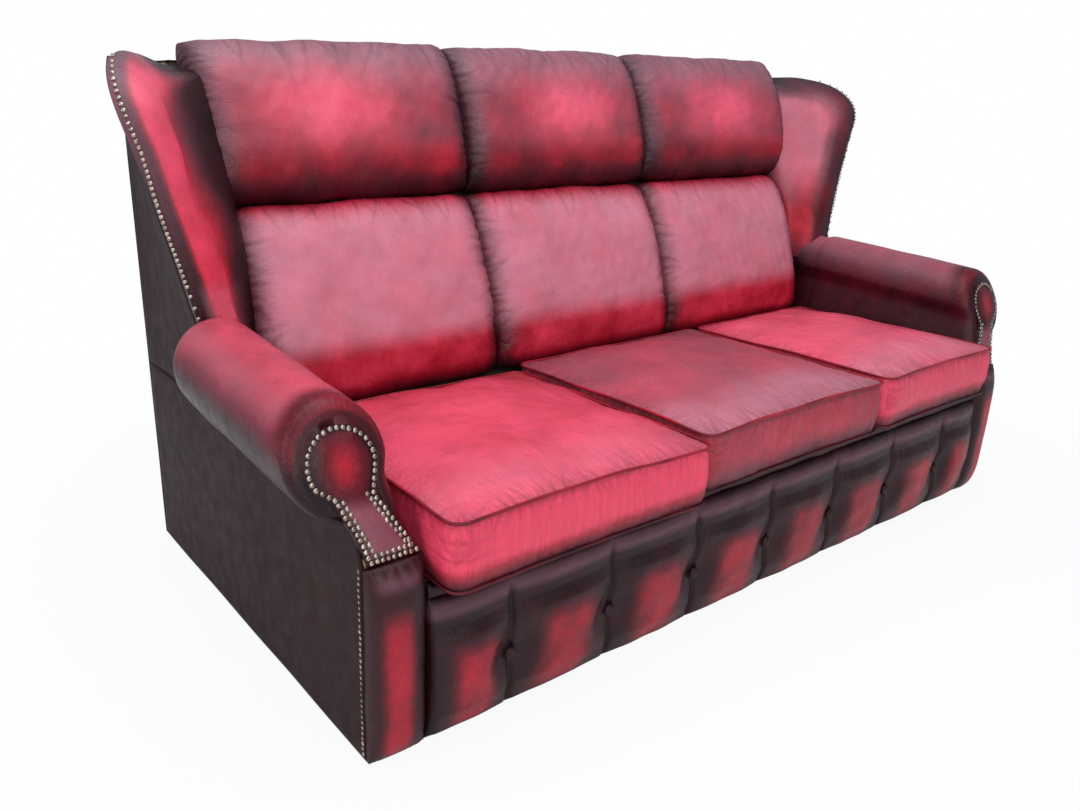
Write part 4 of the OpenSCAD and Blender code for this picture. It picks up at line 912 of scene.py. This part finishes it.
def arm(side, seed):
    loop, spine = arm_section()
    gap = np.linalg.norm(spine - loop, axis=1)
    way = (spine - loop) / np.maximum(gap, 1e-6)[:, None]
    front_face = ARM_FRONT_Y + 0.002
    rim = np.radians(np.linspace(0, 90, 9))
    run = np.linspace(ARM_FRONT_Y + RIM_R, ROLL_Y1 - ROLL_END_R, 74)[1:]
    end = np.radians(np.linspace(0, 82, 12))[1:]
    stations = [(front_face, None, s) for s in FRONT_SHARES]
    stations += [(front_face + RIM_R * (1 - math.cos(t)), RIM_R * (1 - math.sin(t)), 1) for t in rim]
    stations += [(y, 0.0, 1) for y in run]
    stations += [(ROLL_Y1 - ROLL_END_R * (1 - math.sin(t)), ROLL_END_R * (1 - math.cos(t)), 1) for t in end]
    stations += [(ROLL_Y1, ROLL_END_R, s) for s in (1.0, 0.5, 0.05)]
    rings, from_front = [], []
    for station, inset, share in stations:
        inset = RIM_R if inset is None else inset
        drawn = loop + way * np.minimum(inset, gap * 0.9)[:, None]
        drawn = spine + (drawn - spine) * share
        x, z = drawn.T
        front = ARM_FRONT_Y + np.maximum(0, z - FACING_FOOT) * math.tan(ARM_LEAN)
        y = front + (ROLL_Y1 - front) * (station - ARM_FRONT_Y) / (ROLL_Y1 - ARM_FRONT_Y)
        rings.append(columns(x, y, z + roll_tilt(y, z)))
        from_front.append(station - ARM_FRONT_Y)
    points, quads, fans = ring_skin(rings)
    from_front = np.append(np.repeat(from_front, len(loop)), [from_front[0], from_front[-1]])
    quads, fans = skin_outward(points, quads, fans)

    turn = roll_turn(points)
    strokes = gathers(np.random.default_rng(seed), (0.01, -0.02), (0.01, 0.26), "arm_front")
    rise, dark = creases(columns(from_front, np.radians(turn) * ROLL_R), strokes)
    rise += 0.0010 * waves(points, seed + 1, 0.10)
    seen = np.append(np.repeat(np.arange(len(stations)) >= len(FRONT_SHARES), len(loop)), [0, 0])
    points += normals_of(points, quads) * (rise * seen)[:, None]
    # Tones: lighter over the top of the scroll and behind the rim, painted sheen over the top and the outer
    # shoulder, and painted shade on the outer underside
    top = near_turn(turn, 100, 50)
    behind = ease((from_front - 0.03) / 0.05)
    rim_band = band(from_front, 0.004, 0.035, 0.02)
    look = ARM_LOOKS[side]
    wear_and_shade = look["base"] + look["top"] * top * behind + 0.26 * rim_band * near_turn(turn, 120, 50)
    wear_and_shade += 0.05 * waves(points, seed + 4, 0.12) + 0.10 * near_turn(turn, 45, 22) * behind
    wear_and_shade -= 0.15 * (from_front < 0.004) + 0.30 * ease((25 - turn) / 45) * (points[:, 0] > ROLL_X)
    tones = {"wear_and_shade": wear_and_shade, "painted_sheen": look["painted_sheen"] * (top + near_turn(turn, 45, 24)) * behind, "crease": dark}
    add_side("arm", "arm_cover", side, points, [quads, fans], tones=tones)


# How far the inside arm lies under the arm cover, so that their faces don't meet
BEHIND = 0.0005


def arm_back(side, seed):
    """The inside arm goes on behind the scroll's end, under the wing, as far as the pads."""
    keep_x = ROLL_X - 0.022
    x, z = arm_section()[0].T
    lid = ROLL_Z + math.sqrt(ROLL_R ** 2 - (ROLL_X - keep_x) ** 2)
    z = np.where(x > keep_x, np.where(z < ROLL_Z, ROLL_Z - 0.5 * ROLL_R, lid), z)
    x = np.minimum(x, keep_x)
    on_wall = ease((x - HALF_SEAT - 0.012) / 0.03) * (z > ROLL_Z)
    rings = []
    for y in np.linspace(ROLL_Y1 - ROLL_END_R - 0.02, RAKE_Y + (BACK_Y - RAKE_Y) / 2, 40):
        height = np.minimum(z + roll_tilt(y, z), WING_FOOT) - BEHIND
        height += (WING_FOOT - 2 * BEHIND - height) * on_wall * ease((y - ROLL_Y1 - 0.02) / 0.03)
        rings.append(columns(x + BEHIND, np.full(len(x), y), height))
    points, quads, fans = ring_skin(rings)
    look, top = ARM_LOOKS[side], near_turn(roll_turn(points), 100, 50)
    # Painted shade behind the scroll's end, under the wing
    shown = 1 - 0.7 * ease((points[:, 1] - ROLL_Y1 + 0.01) / 0.04)
    tones = {"wear_and_shade": (look["base"] + look["top"] * top) * shown + 0.05 * waves(points, seed + 4, 0.12),
             "painted_sheen": look["painted_sheen"] * top * shown}
    add_side("arm_inside", None, side, points, skin_outward(points, quads, fans), tones=tones)


def outside_arm(side, seed):
    (a, b, c), quads = box_grid(*GRIDS["outer_arm"])
    y0, y1 = POST_HI.y + FIT, BACK_Y - PANEL_T - FIT
    y = y0 + (y1 - y0) * ((b + 1) / 2) ** 1.5
    step = ease((y - ROLL_Y1 + 0.002) / 0.004)
    top = under_roll_z(np.minimum(y, ROLL_Y1)) * (1 - step) + WING_SEAM_Z * step
    lean_y0 = ARM_FRONT_Y + (FACING_T + FIT) / math.cos(ARM_LEAN)
    top = np.minimum(top, FACING_FOOT + (y - lean_y0) / math.tan(ARM_LEAN))
    z = BASE_Z + (top - BASE_Z) * (c + 1) / 2
    edge = np.minimum(1 - np.abs(b), 1 - np.abs(c))
    puff = 0.0015 * ease(edge / 0.03) + 0.0010 * waves(columns(y, z), seed, 0.22)
    x = HALF_BASE - PANEL_T * (1 - a) / 2 + np.where(a > 0, puff, 0)
    add_side("outer_arm", "outside_arm", side, columns(x, y, z), [quads], "panel_leather")


# The keyhole facing: a disc on a neck, drawn upright and then leaned back
INNER_SHARES = np.array([[0.07, 0], [0.32, 0.33], [0.6, 0.68]])
OUTER_SHARES = np.array([[0.92, 0], [1.06, 0.33], [1.3, 0.68]])


def facing_side(shares):
    return columns(HALF_SEAT + ARM_BOX * shares[:, 0], FACING_FOOT + (LEAN_ROLL_Z - FACING_FOOT) * shares[:, 1])


def facing_edges(z):
    """The facing's inner and outer edges at a height."""
    lift = np.clip((z - LEAN_ROLL_Z) / FACING_R, -1, 1)
    half = FACING_R * np.sqrt(1 - lift ** 2)
    inner, outer = facing_side(INNER_SHARES), facing_side(OUTER_SHARES)
    left_z, right_z = LEAN_ROLL_Z - 0.087 * FACING_R, LEAN_ROLL_Z - 0.643 * FACING_R
    left = np.interp(z, [*inner[:, 1], left_z], [*inner[:, 0], ROLL_X - 0.996 * FACING_R])
    right = np.interp(z, [*outer[:, 1], right_z], [*outer[:, 0], ROLL_X + 0.766 * FACING_R])
    return np.where(z > left_z, ROLL_X - half, left), np.where(z > right_z, ROLL_X + half, right)


def facing(side):
    (a, b, c), quads = box_grid(*GRIDS["facing"])
    low, high = FACING_FOOT, LEAN_ROLL_Z + FACING_R
    share = np.sin((c + 1) * math.pi / 4) * 0.5 + (c + 1) / 4
    z = low + (high - low) * share
    left, right = facing_edges(z)
    x = (left + right) / 2 + (right - left) / 2 * a
    edge = np.minimum(np.minimum(x - left, right - x), np.minimum(z - low, high - z))
    y = ARM_FRONT_Y + FACING_T * (b + 1) / 2 - 0.006 * ease(edge / 0.030) * (b <= -1)
    # The disc and the neck lighter, the rim darker, and painted sheen on the neck
    disc = np.exp(-(((x - ROLL_X) / 0.030) ** 2 + ((z - LEAN_ROLL_Z) / 0.040) ** 2))
    neck = ease((0.44 - z) / 0.03) * ease(edge / 0.02)
    rim = ease((0.018 - edge) / 0.012)
    tones = {"wear_and_shade": 0.22 + 0.50 * disc + 0.20 * neck - 0.12 * rim, "painted_sheen": 0.22 * neck}
    add_side("facing", "arm_facing", side, on_lean(columns(x, y, z)), [quads], tones=tones)


# Padded front posts

def post(side, seed):
    (a, b, c), quads = box_grid(*GRIDS["post"])
    edge_t, swell = 0.008, 0.028
    up = (c + 1) / 2
    thick = edge_t + swell * bump(a, 3) ** 0.6 * bump(c, 5) ** 0.6
    x = HALF_SEAT + ARM_BOX / 2 * (1 + a)
    z = BASE_Z + (POST_TOP - BASE_Z) * up
    y = POST_HI.y - thick * (1 - b) / 2
    points, flat = columns(x, y, z), columns(x, z)
    rng = np.random.default_rng(seed)
    top = POST_TOP - 0.004
    strokes = np.concatenate([gathers(rng, (HALF_SEAT, top), (HALF_BASE, top), "post_top"),
                              gathers(rng, (HALF_SEAT, BASE_Z), (HALF_BASE, BASE_Z), "post_foot")])
    rise, dark = creases(flat, strokes)
    rise += 0.0010 * waves(flat, seed, 0.09)
    points += normals_of(points, quads) * (rise * (b < 1))[:, None]
    # A lighter stripe down the post's face, and painted sheen on its shoulder
    stripe = np.exp(-((a - 0.16) / 0.55) ** 4) * ease((0.90 - up) / 0.22) * ease(up / 0.06)
    shoulder = np.exp(-((up - 0.93) / 0.035) ** 2) * ease((0.95 - np.abs(a)) / 0.5)
    tones = {"wear_and_shade": 0.14 + 0.56 * stripe, "painted_sheen": 0.16 * shoulder, "crease": dark}
    add_side("post", "post_pad", side, points, [quads], tones=tones)


for number, side in enumerate(("left", "right")):
    wing(side, 50 + number)
    outside_wing(side, 52 + number)
    arm(side, 54 + number)
    arm_back(side, 56 + number)
    outside_arm(side, 58 + number)
    facing(side)
    post(side, 62 + number)


# Front border: flutes between pleats, a tuft at each button, and a roll along the top
BUTTON_PITCH = 0.218
BUTTON_Z = BASE_Z + 0.107
BUTTON_R = 0.011
BUTTON_XS = (np.arange(7) - 3) * BUTTON_PITCH
PLEAT_XS = np.array([BORDER_LO.x, *BUTTON_XS, BORDER_HI.x])
BORDER_H = BORDER_HI.z - BORDER_LO.z
PLEAT_T = 0.028
FLUTE_SWELL = 0.022


def border_front(x, z):
    """The border's thickness and tones at a place on its front, with painted shade towards the pleats and round the
    buttons.
    """
    flute = np.clip(np.searchsorted(PLEAT_XS, x) - 1, 0, len(PLEAT_XS) - 2)
    left, right = PLEAT_XS[flute], PLEAT_XS[flute + 1]
    s = (2 * x - left - right) / (right - left)
    up = (z - BASE_Z) / BORDER_H
    from_button = np.min(np.hypot(x[:, None] - BUTTON_XS, z[:, None] - BUTTON_Z), axis=1)
    from_pleat = np.min(np.abs(x[:, None] - PLEAT_XS), axis=1)
    tuft = 1 - ease((from_button - 0.012) / 0.052)
    body = np.interp(up, [0, 0.06, 0.2, 0.7, 0.80, 0.84, 0.92, 0.97, 1],
                     [0, 0.72, 0.96, 1.0, 0.93, 0.93, 0.98, 0.78, 0.45])
    swell = np.interp(up, [0, 0.06, 0.2, 0.45, 0.6, 0.72, 0.80, 1], [0, 0.2, 0.6, 1, 1, 0.85, 0.42, 0.2])
    thick = 0.006 + (PLEAT_T - 0.006) * body + FLUTE_SWELL * swell * bump(s, 2.2) ** 0.75 * (1 - tuft)
    fold = np.exp(-(from_pleat / 0.0045) ** 2)
    thick -= 0.007 * fold * ease((0.97 - up) / 0.1) * ease(up / 0.08)
    thick -= 0.004 * np.exp(-(from_button / 0.014) ** 2)
    # Painted shade towards the pleats and round each button, and darker towards the top and the bottom
    shade = ease((np.abs(s) - 0.20) / 0.70)
    wear_and_shade = 0.58 * (1 - shade) * ease((0.78 - up) / 0.22) * (1 - 0.8 * tuft) * ease(up / 0.12) + 0.08
    return thick, wear_and_shade, fold


def front_border(seed):
    (a, b, c), quads = box_grid(*GRIDS["border"])
    x = BORDER_LO.x + (BORDER_HI.x - BORDER_LO.x) * (a + 1) / 2
    z = BASE_Z + BORDER_H * (c + 1) / 2
    thick, wear_and_shade, fold = border_front(x, z)
    rng = np.random.default_rng(seed)
    strokes = []
    for at in BUTTON_XS:
        for turn in np.linspace(0, 360, 9)[:-1]:
            angle = math.radians(turn + rng.uniform(-18, 18))
            strokes.append((at + 0.010 * math.cos(angle), BUTTON_Z + 0.010 * math.sin(angle), angle,
                            rng.uniform(0.02, 0.045), 0.0028, 0.0016, rng.uniform(-0.2, 0.2)))
        fold_z = BORDER_HI.z - 0.05
        strokes.extend(gathers(rng, (at - 0.03, fold_z), (at + 0.03, fold_z), "border_pleat"))
    flat = columns(x, z)
    rise, dark = creases(flat, strokes)
    thick = thick + rise + 0.0009 * waves(flat, seed, 0.07)
    y = BORDER_HI.y - np.maximum(thick, 0.002) * (1 - b) / 2
    # Painted sheen along the top roll; gathered dye and painted shade in the creases and the pleat folds
    tones = {"wear_and_shade": wear_and_shade + 0.04 * waves(flat, seed + 3, 0.06),
             "painted_sheen": 0.13 * band((z - BASE_Z) / BORDER_H, 0.87, 0.96, 0.06),
             "crease": np.maximum(dark, fold)}
    add_piece("fluted_border", columns(x, y, z), quads, "red_leather", ["front_border"], tones)


def dome(radius, height, rings, sides):
    """A domed head with a turned-in rim, on the plane z = 0, facing +Z."""
    t = np.linspace(0, math.pi / 2, rings)
    profile = [(radius * 0.9, 0.0)] + [(radius * math.cos(k), 0.12 * height + 0.88 * height * math.sin(k))
                                       for k in t[:-1]]
    turns = np.arange(sides) * 2 * math.pi / sides
    rows = [columns(r * np.cos(turns), r * np.sin(turns), np.full(sides, z)) for r, z in profile]
    points, quads, fans = ring_skin(rows)
    points[-1] = (0, 0, height)
    return points, quads, fans


def many(shape, places, ways, sizes):
    """Copies of a shape at places, with its +Z turned to each way."""
    points, quads, fans = shape
    out_points, out_quads, out_fans = [], [], []
    for k, (place, way) in enumerate(zip(places, ways)):
        way = np.asarray(way) / np.linalg.norm(way)
        side = np.cross(way, (0.12, 0.31, 0.94))
        side /= np.linalg.norm(side)
        turn = np.array([side, np.cross(way, side), way])
        out_points.append(points * sizes[k] @ turn + place)
        out_quads.append(quads + k * len(points))
        out_fans.append(fans + k * len(points))
    return np.concatenate(out_points), [np.concatenate(out_quads), np.concatenate(out_fans)]


def border_buttons(seed):
    shape = dome(BUTTON_R, BUTTON_R * 0.62, 12, 32)
    places = [(x, BORDER_HI.y - PLEAT_T + 0.001, BUTTON_Z) for x in BUTTON_XS]
    points, faces = many(shape, places, [(0, -1, 0.05)] * len(places), [1.0] * len(places))
    points[:, 1] -= 0.0004 * waves(points, seed, 0.008)
    add_piece("buttons", points, faces, "dark_leather", ["border_buttons"], {"wear_and_shade": 0.18})


def deck_lip(seed):
    (a, b, c), quads = box_grid(*GRIDS["lip"])
    n, v = to_superellipse(b, c, 3.0)
    middle = (LIP_LO + LIP_HI) / 2
    half = (LIP_HI - LIP_LO) / 2
    points = columns(middle.x + half.x * a, middle.y + half.y * n, middle.z + half.z * v)
    points[:, 1] -= 0.0015 * waves(points, seed, 0.06) * (n < 0)
    add_piece("lip_roll", points, quads, "dark_leather", ["deck_lip"],
              {"wear_and_shade": 0.10 + 0.05 * waves(points, seed, 0.1)})


front_border(70)
border_buttons(71)
deck_lip(72)


# Decorative nails
NAIL_INSET = NAIL_R + 2 * FIT
RING_START, RING_SPAN = -30, 232


def spaced(path):
    """Places a nail's pitch apart along a path, without its last point."""
    found = []
    for start, end in zip(path[:-1], path[1:]):
        count = max(1, round(float(np.linalg.norm(end - start)) / NAIL_PITCH))
        found.extend(start + (end - start) * k / count for k in range(count))
    return found


def ring_point(angle):
    r = FACING_R - NAIL_INSET
    return np.array([ROLL_X + r * math.cos(math.radians(angle)), LEAN_ROLL_Z + r * math.sin(math.radians(angle))])


def facing_nails():
    count = int((FACING_R - NAIL_INSET) * math.radians(RING_SPAN) / NAIL_PITCH)
    found = [ring_point(RING_START + RING_SPAN * k / count) for k in range(count)]
    for row in (0, 1):
        d = NAIL_INSET + row * 2.3 * NAIL_R
        inner, outer = facing_side(INNER_SHARES), facing_side(OUTER_SHARES)
        path = [inner[2] + (d, 0), inner[1] + (d, 0), inner[0] + (d, d),
                outer[0] + (-d, d), outer[1] - (d, 0), outer[2] + (-d, d / 2)]
        if row == 0:
            path = [ring_point(RING_START + RING_SPAN)] + path + [ring_point(RING_START)]
        found.extend(spaced(path))
    places = on_lean(np.array([(x, ARM_FRONT_Y - 0.002, z) for x, z in found]))
    return [(place, (0, -math.cos(ARM_LEAN), math.sin(ARM_LEAN))) for place in places]


def post_nails():
    count = int((FACING_FOOT - BASE_Z) / NAIL_PITCH)
    y = POST_HI.y + 1.6 * NAIL_R
    return [((HALF_BASE + 0.0005, y, BASE_Z + k * NAIL_PITCH), (1, 0, 0)) for k in range(1, count + 1)]


def wing_nails():
    """Nails on the outer shoulder of the wing's rounded front edge."""
    z1 = WING_TOP - (WING_TOP - WING_TURN) * 0.08
    z = np.linspace(WING_FOOT + 0.002, z1, int(1.08 * (z1 - WING_FOOT) / NAIL_PITCH))
    edge = columns(wing_edge(z), z)
    turns = np.radians(158 - 26 * ease((z - WING_TURN + 0.16) / 0.14))
    found = []
    for k, turn in enumerate(turns):
        near = np.array([edge[k], edge[k] + (0, 0.002) if z[k] < WING_TURN else edge[k] + (0.001, 0.001)])
        here, there = [wing_skin(near, *rim_row(t))[0] for t in (turn, turn + 0.05)]
        way = np.cross(here[1] - here[0], there[0] - here[0])
        way *= math.copysign(1, way[0]) / np.linalg.norm(way)
        found.append((here[0] + 0.0010 * way, way))
    return found


def nails(seed):
    rng = np.random.default_rng(seed)
    places, ways = [], []
    for side in (1, -1):
        for place, way in facing_nails() + post_nails() + wing_nails():
            shift = rng.normal(scale=0.0004, size=3) * (way[0] == 0, 1, 1) * (1, way[0] != 0, 1)
            tilt = rng.normal(scale=0.06, size=3)
            places.append((np.array(place) + shift) * (side, 1, 1))
            ways.append((np.array(way) + tilt) * (side, 1, 1))
    sizes = rng.uniform(0.94, 1.06, len(places))
    points, faces = many(dome(NAIL_R, NAIL_R * 0.6, 6, 14), places, ways, sizes)
    add_piece("trim_nails", points, faces, "nail_metal", ["nailheads"])


nails(80)


# Outside back, with the strip of leather over the top board

def slab(low, high, counts):
    """Points and quads of a plate between two corners."""
    cube, quads = box_grid(*counts)
    return np.array(low) + (np.array(high) - low) * (cube.T + 1) / 2, quads


def outside_back(seed):
    (a, b, c), quads = box_grid(*GRIDS["outer_back"])
    z = BASE_Z + (BACK_HI.z - BASE_Z) * (c + 1) / 2
    edge = np.minimum((1 - np.abs(a)) * HALF_BASE, (1 - np.abs(c)) * BACK_HI.z / 2)
    puff = 0.0020 * ease(edge / 0.03) + 0.0012 * waves(columns(a, z), seed, 0.3)
    points = columns(a * HALF_BASE, BACK_Y - PANEL_T * (1 - b) / 2 + np.where(b > 0, puff, 0), z)
    pad_back = LUMBAR_T * (1 - PAD_FRONT) + LUMBAR_MID
    strip_y = RAKE_Y + pad_back / math.cos(RAKE) + (BACK_HI.z - RAKE_Z) * math.tan(RAKE) + 0.0045
    strip_x, corner_x, corner_z = HALF_BASE - 0.056, HALF_BASE - PANEL_T - FIT, BACK_HI.z - 0.0002
    strip, strip_quads = slab((-strip_x, strip_y, BACK_HI.z - PANEL_T), (strip_x, BACK_Y - PANEL_T, BACK_HI.z),
                              GRIDS["strip"])
    corner, corner_quads = slab((-corner_x, WING_BACK + 0.001, corner_z - PANEL_T / 2),
                                (corner_x, BACK_Y - PANEL_T, corner_z), GRIDS["corner_strip"])
    add_piece("outer_back", np.concatenate([points, strip, corner]),
              [quads, strip_quads + len(points), corner_quads + len(points) + len(strip)],
              "panel_leather", ["outside_back"])


outside_back(90)

# The frame, the webbing and the linings keep their solids, with their own materials
SLOT_MATERIALS = {
    "timber": wood(),
    "webbing": woven("elastic_webbing", (0.16, 0.12, 0.06), (0.46, 0.38, 0.24), 900),
    "lining_cloth": woven("lining_cloth", (0.020, 0.012, 0.012), (0.060, 0.042, 0.040), 1400),
    "foam": foam(),
    "glide_plastic": moulded_plastic(),
}
for part in frame["record"]["subparts"]:
    material = SLOT_MATERIALS.get(part["material_slot"])
    if material is not None:
        cad_mesh = frame["nodes"][part["node"]].data
        cad_mesh.materials.clear()
        cad_mesh.materials.append(material)


# Camera at the photograph's viewpoint
CAMERA_AT = (-1.4212, -1.3294, 0.9423)
YAW, PITCH, ROLL = math.radians(35.824), math.radians(19.13), math.radians(0.75)
PHOTO_W, PHOTO_H = 1080, 811
FOCAL_PX, CENTRE_PX = 876.7, (452, 403)
SENSOR_MM = 36
FLOOR_HALF = 14


def add_camera():
    ahead = np.array([math.sin(YAW) * math.cos(PITCH), math.cos(YAW) * math.cos(PITCH), -math.sin(PITCH)])
    level = np.array([math.cos(YAW), -math.sin(YAW), 0])
    up = np.cross(level, ahead)
    right = math.cos(ROLL) * level + math.sin(ROLL) * up
    top = math.cos(ROLL) * up - math.sin(ROLL) * level
    data = bpy.data.cameras.new("photo_camera")
    data.sensor_width = SENSOR_MM
    data.lens = FOCAL_PX / PHOTO_W * SENSOR_MM
    data.shift_x = (PHOTO_W / 2 - CENTRE_PX[0]) / PHOTO_W
    data.shift_y = (CENTRE_PX[1] - PHOTO_H / 2) / PHOTO_W
    camera = bpy.data.objects.new("photo_camera", data)
    turn = Matrix([[right[k], top[k], -ahead[k]] for k in range(3)]).to_4x4()
    camera.matrix_world = Matrix.Translation(CAMERA_AT) @ turn
    bpy.context.scene.collection.objects.link(camera)
    bpy.context.scene.camera = camera


def add_lamp(name, place, aim, size, power, colour):
    data = bpy.data.lights.new(name, "AREA")
    data.shape = "RECTANGLE"
    data.size, data.size_y = size
    data.energy = power
    data.color = colour
    lamp = bpy.data.objects.new(name, data)
    way = Matrix.Translation(place).translation - Matrix.Translation(aim).translation
    lamp.matrix_world = Matrix.Translation(place) @ way.to_track_quat("Z", "Y").to_matrix().to_4x4()
    bpy.context.scene.collection.objects.link(lamp)


def add_world():
    world = bpy.data.worlds.new("studio")
    bpy.context.scene.world = world
    world.use_nodes = True
    tree = world.node_tree
    shader = tree.nodes["Background"]
    shader.inputs["Color"].default_value = (0.90, 0.94, 1.0, 1)
    shader.inputs["Strength"].default_value = 0.34
    white = add_node(tree, "Background", Color=(1, 1, 1, 1), Strength=1.0)
    rays = add_node(tree, "LightPath")
    mix = add_node(tree, "MixShader", None, i0=rays.outputs["Is Camera Ray"], i1=shader.outputs[0],
                   i2=white.outputs[0])
    tree.links.new(mix.outputs[0], tree.nodes["World Output"].inputs["Surface"])


def add_floor():
    mesh = bpy.data.meshes.new("floor")
    mesh.from_pydata([(x * FLOOR_HALF, y * FLOOR_HALF, 0) for x, y in ((-1, -1), (1, -1), (1, 1), (-1, 1))],
                     [], [(0, 1, 2, 3)])
    floor = bpy.data.objects.new("floor", mesh)
    bpy.context.scene.collection.objects.link(floor)
    material, tree, shader = new_material("pale_floor")
    dress(tree, shader, (0.86, 0.86, 0.86, 1), 0.9)
    glow = add_node(tree, "Emission", Color=(1, 1, 1, 1), Strength=1.0)
    rays = add_node(tree, "LightPath")
    reach = add_node(tree, "VectorMath", {"operation": "LENGTH"}, i0=place_on(tree)).outputs["Value"]
    pale = map_range(tree, reach, 0.9, 2.4, 0.93, 1.0, "SMOOTHSTEP")
    share = calc(tree, "MULTIPLY", rays.outputs["Is Camera Ray"], pale)
    mix = add_node(tree, "MixShader", None, i0=share, i1=shader.outputs[0], i2=glow.outputs[0])
    tree.links.new(mix.outputs[0], tree.nodes["Material Output"].inputs["Surface"])
    mesh.materials.append(material)


add_camera()
add_world()
add_floor()
# Name, place, aim, size, watts and colour
for lamp in (("sky_lamp", (-0.3, -0.2, 3.2), (0, 0, 0.4), (3.4, 2.4), 62, (0.95, 0.97, 1.0)),
             ("front_lamp", (-1.6, -3.2, 1.9), (0, 0, 0.5), (2.6, 1.8), 46, (1.0, 0.98, 0.96)),
             ("left_lamp", (-3.4, -0.2, 1.6), (-0.5, 0, 0.5), (1.6, 1.6), 26, (1.0, 0.99, 0.98))):
    add_lamp(*lamp)
bpy.context.scene.view_settings.view_transform = "Standard"
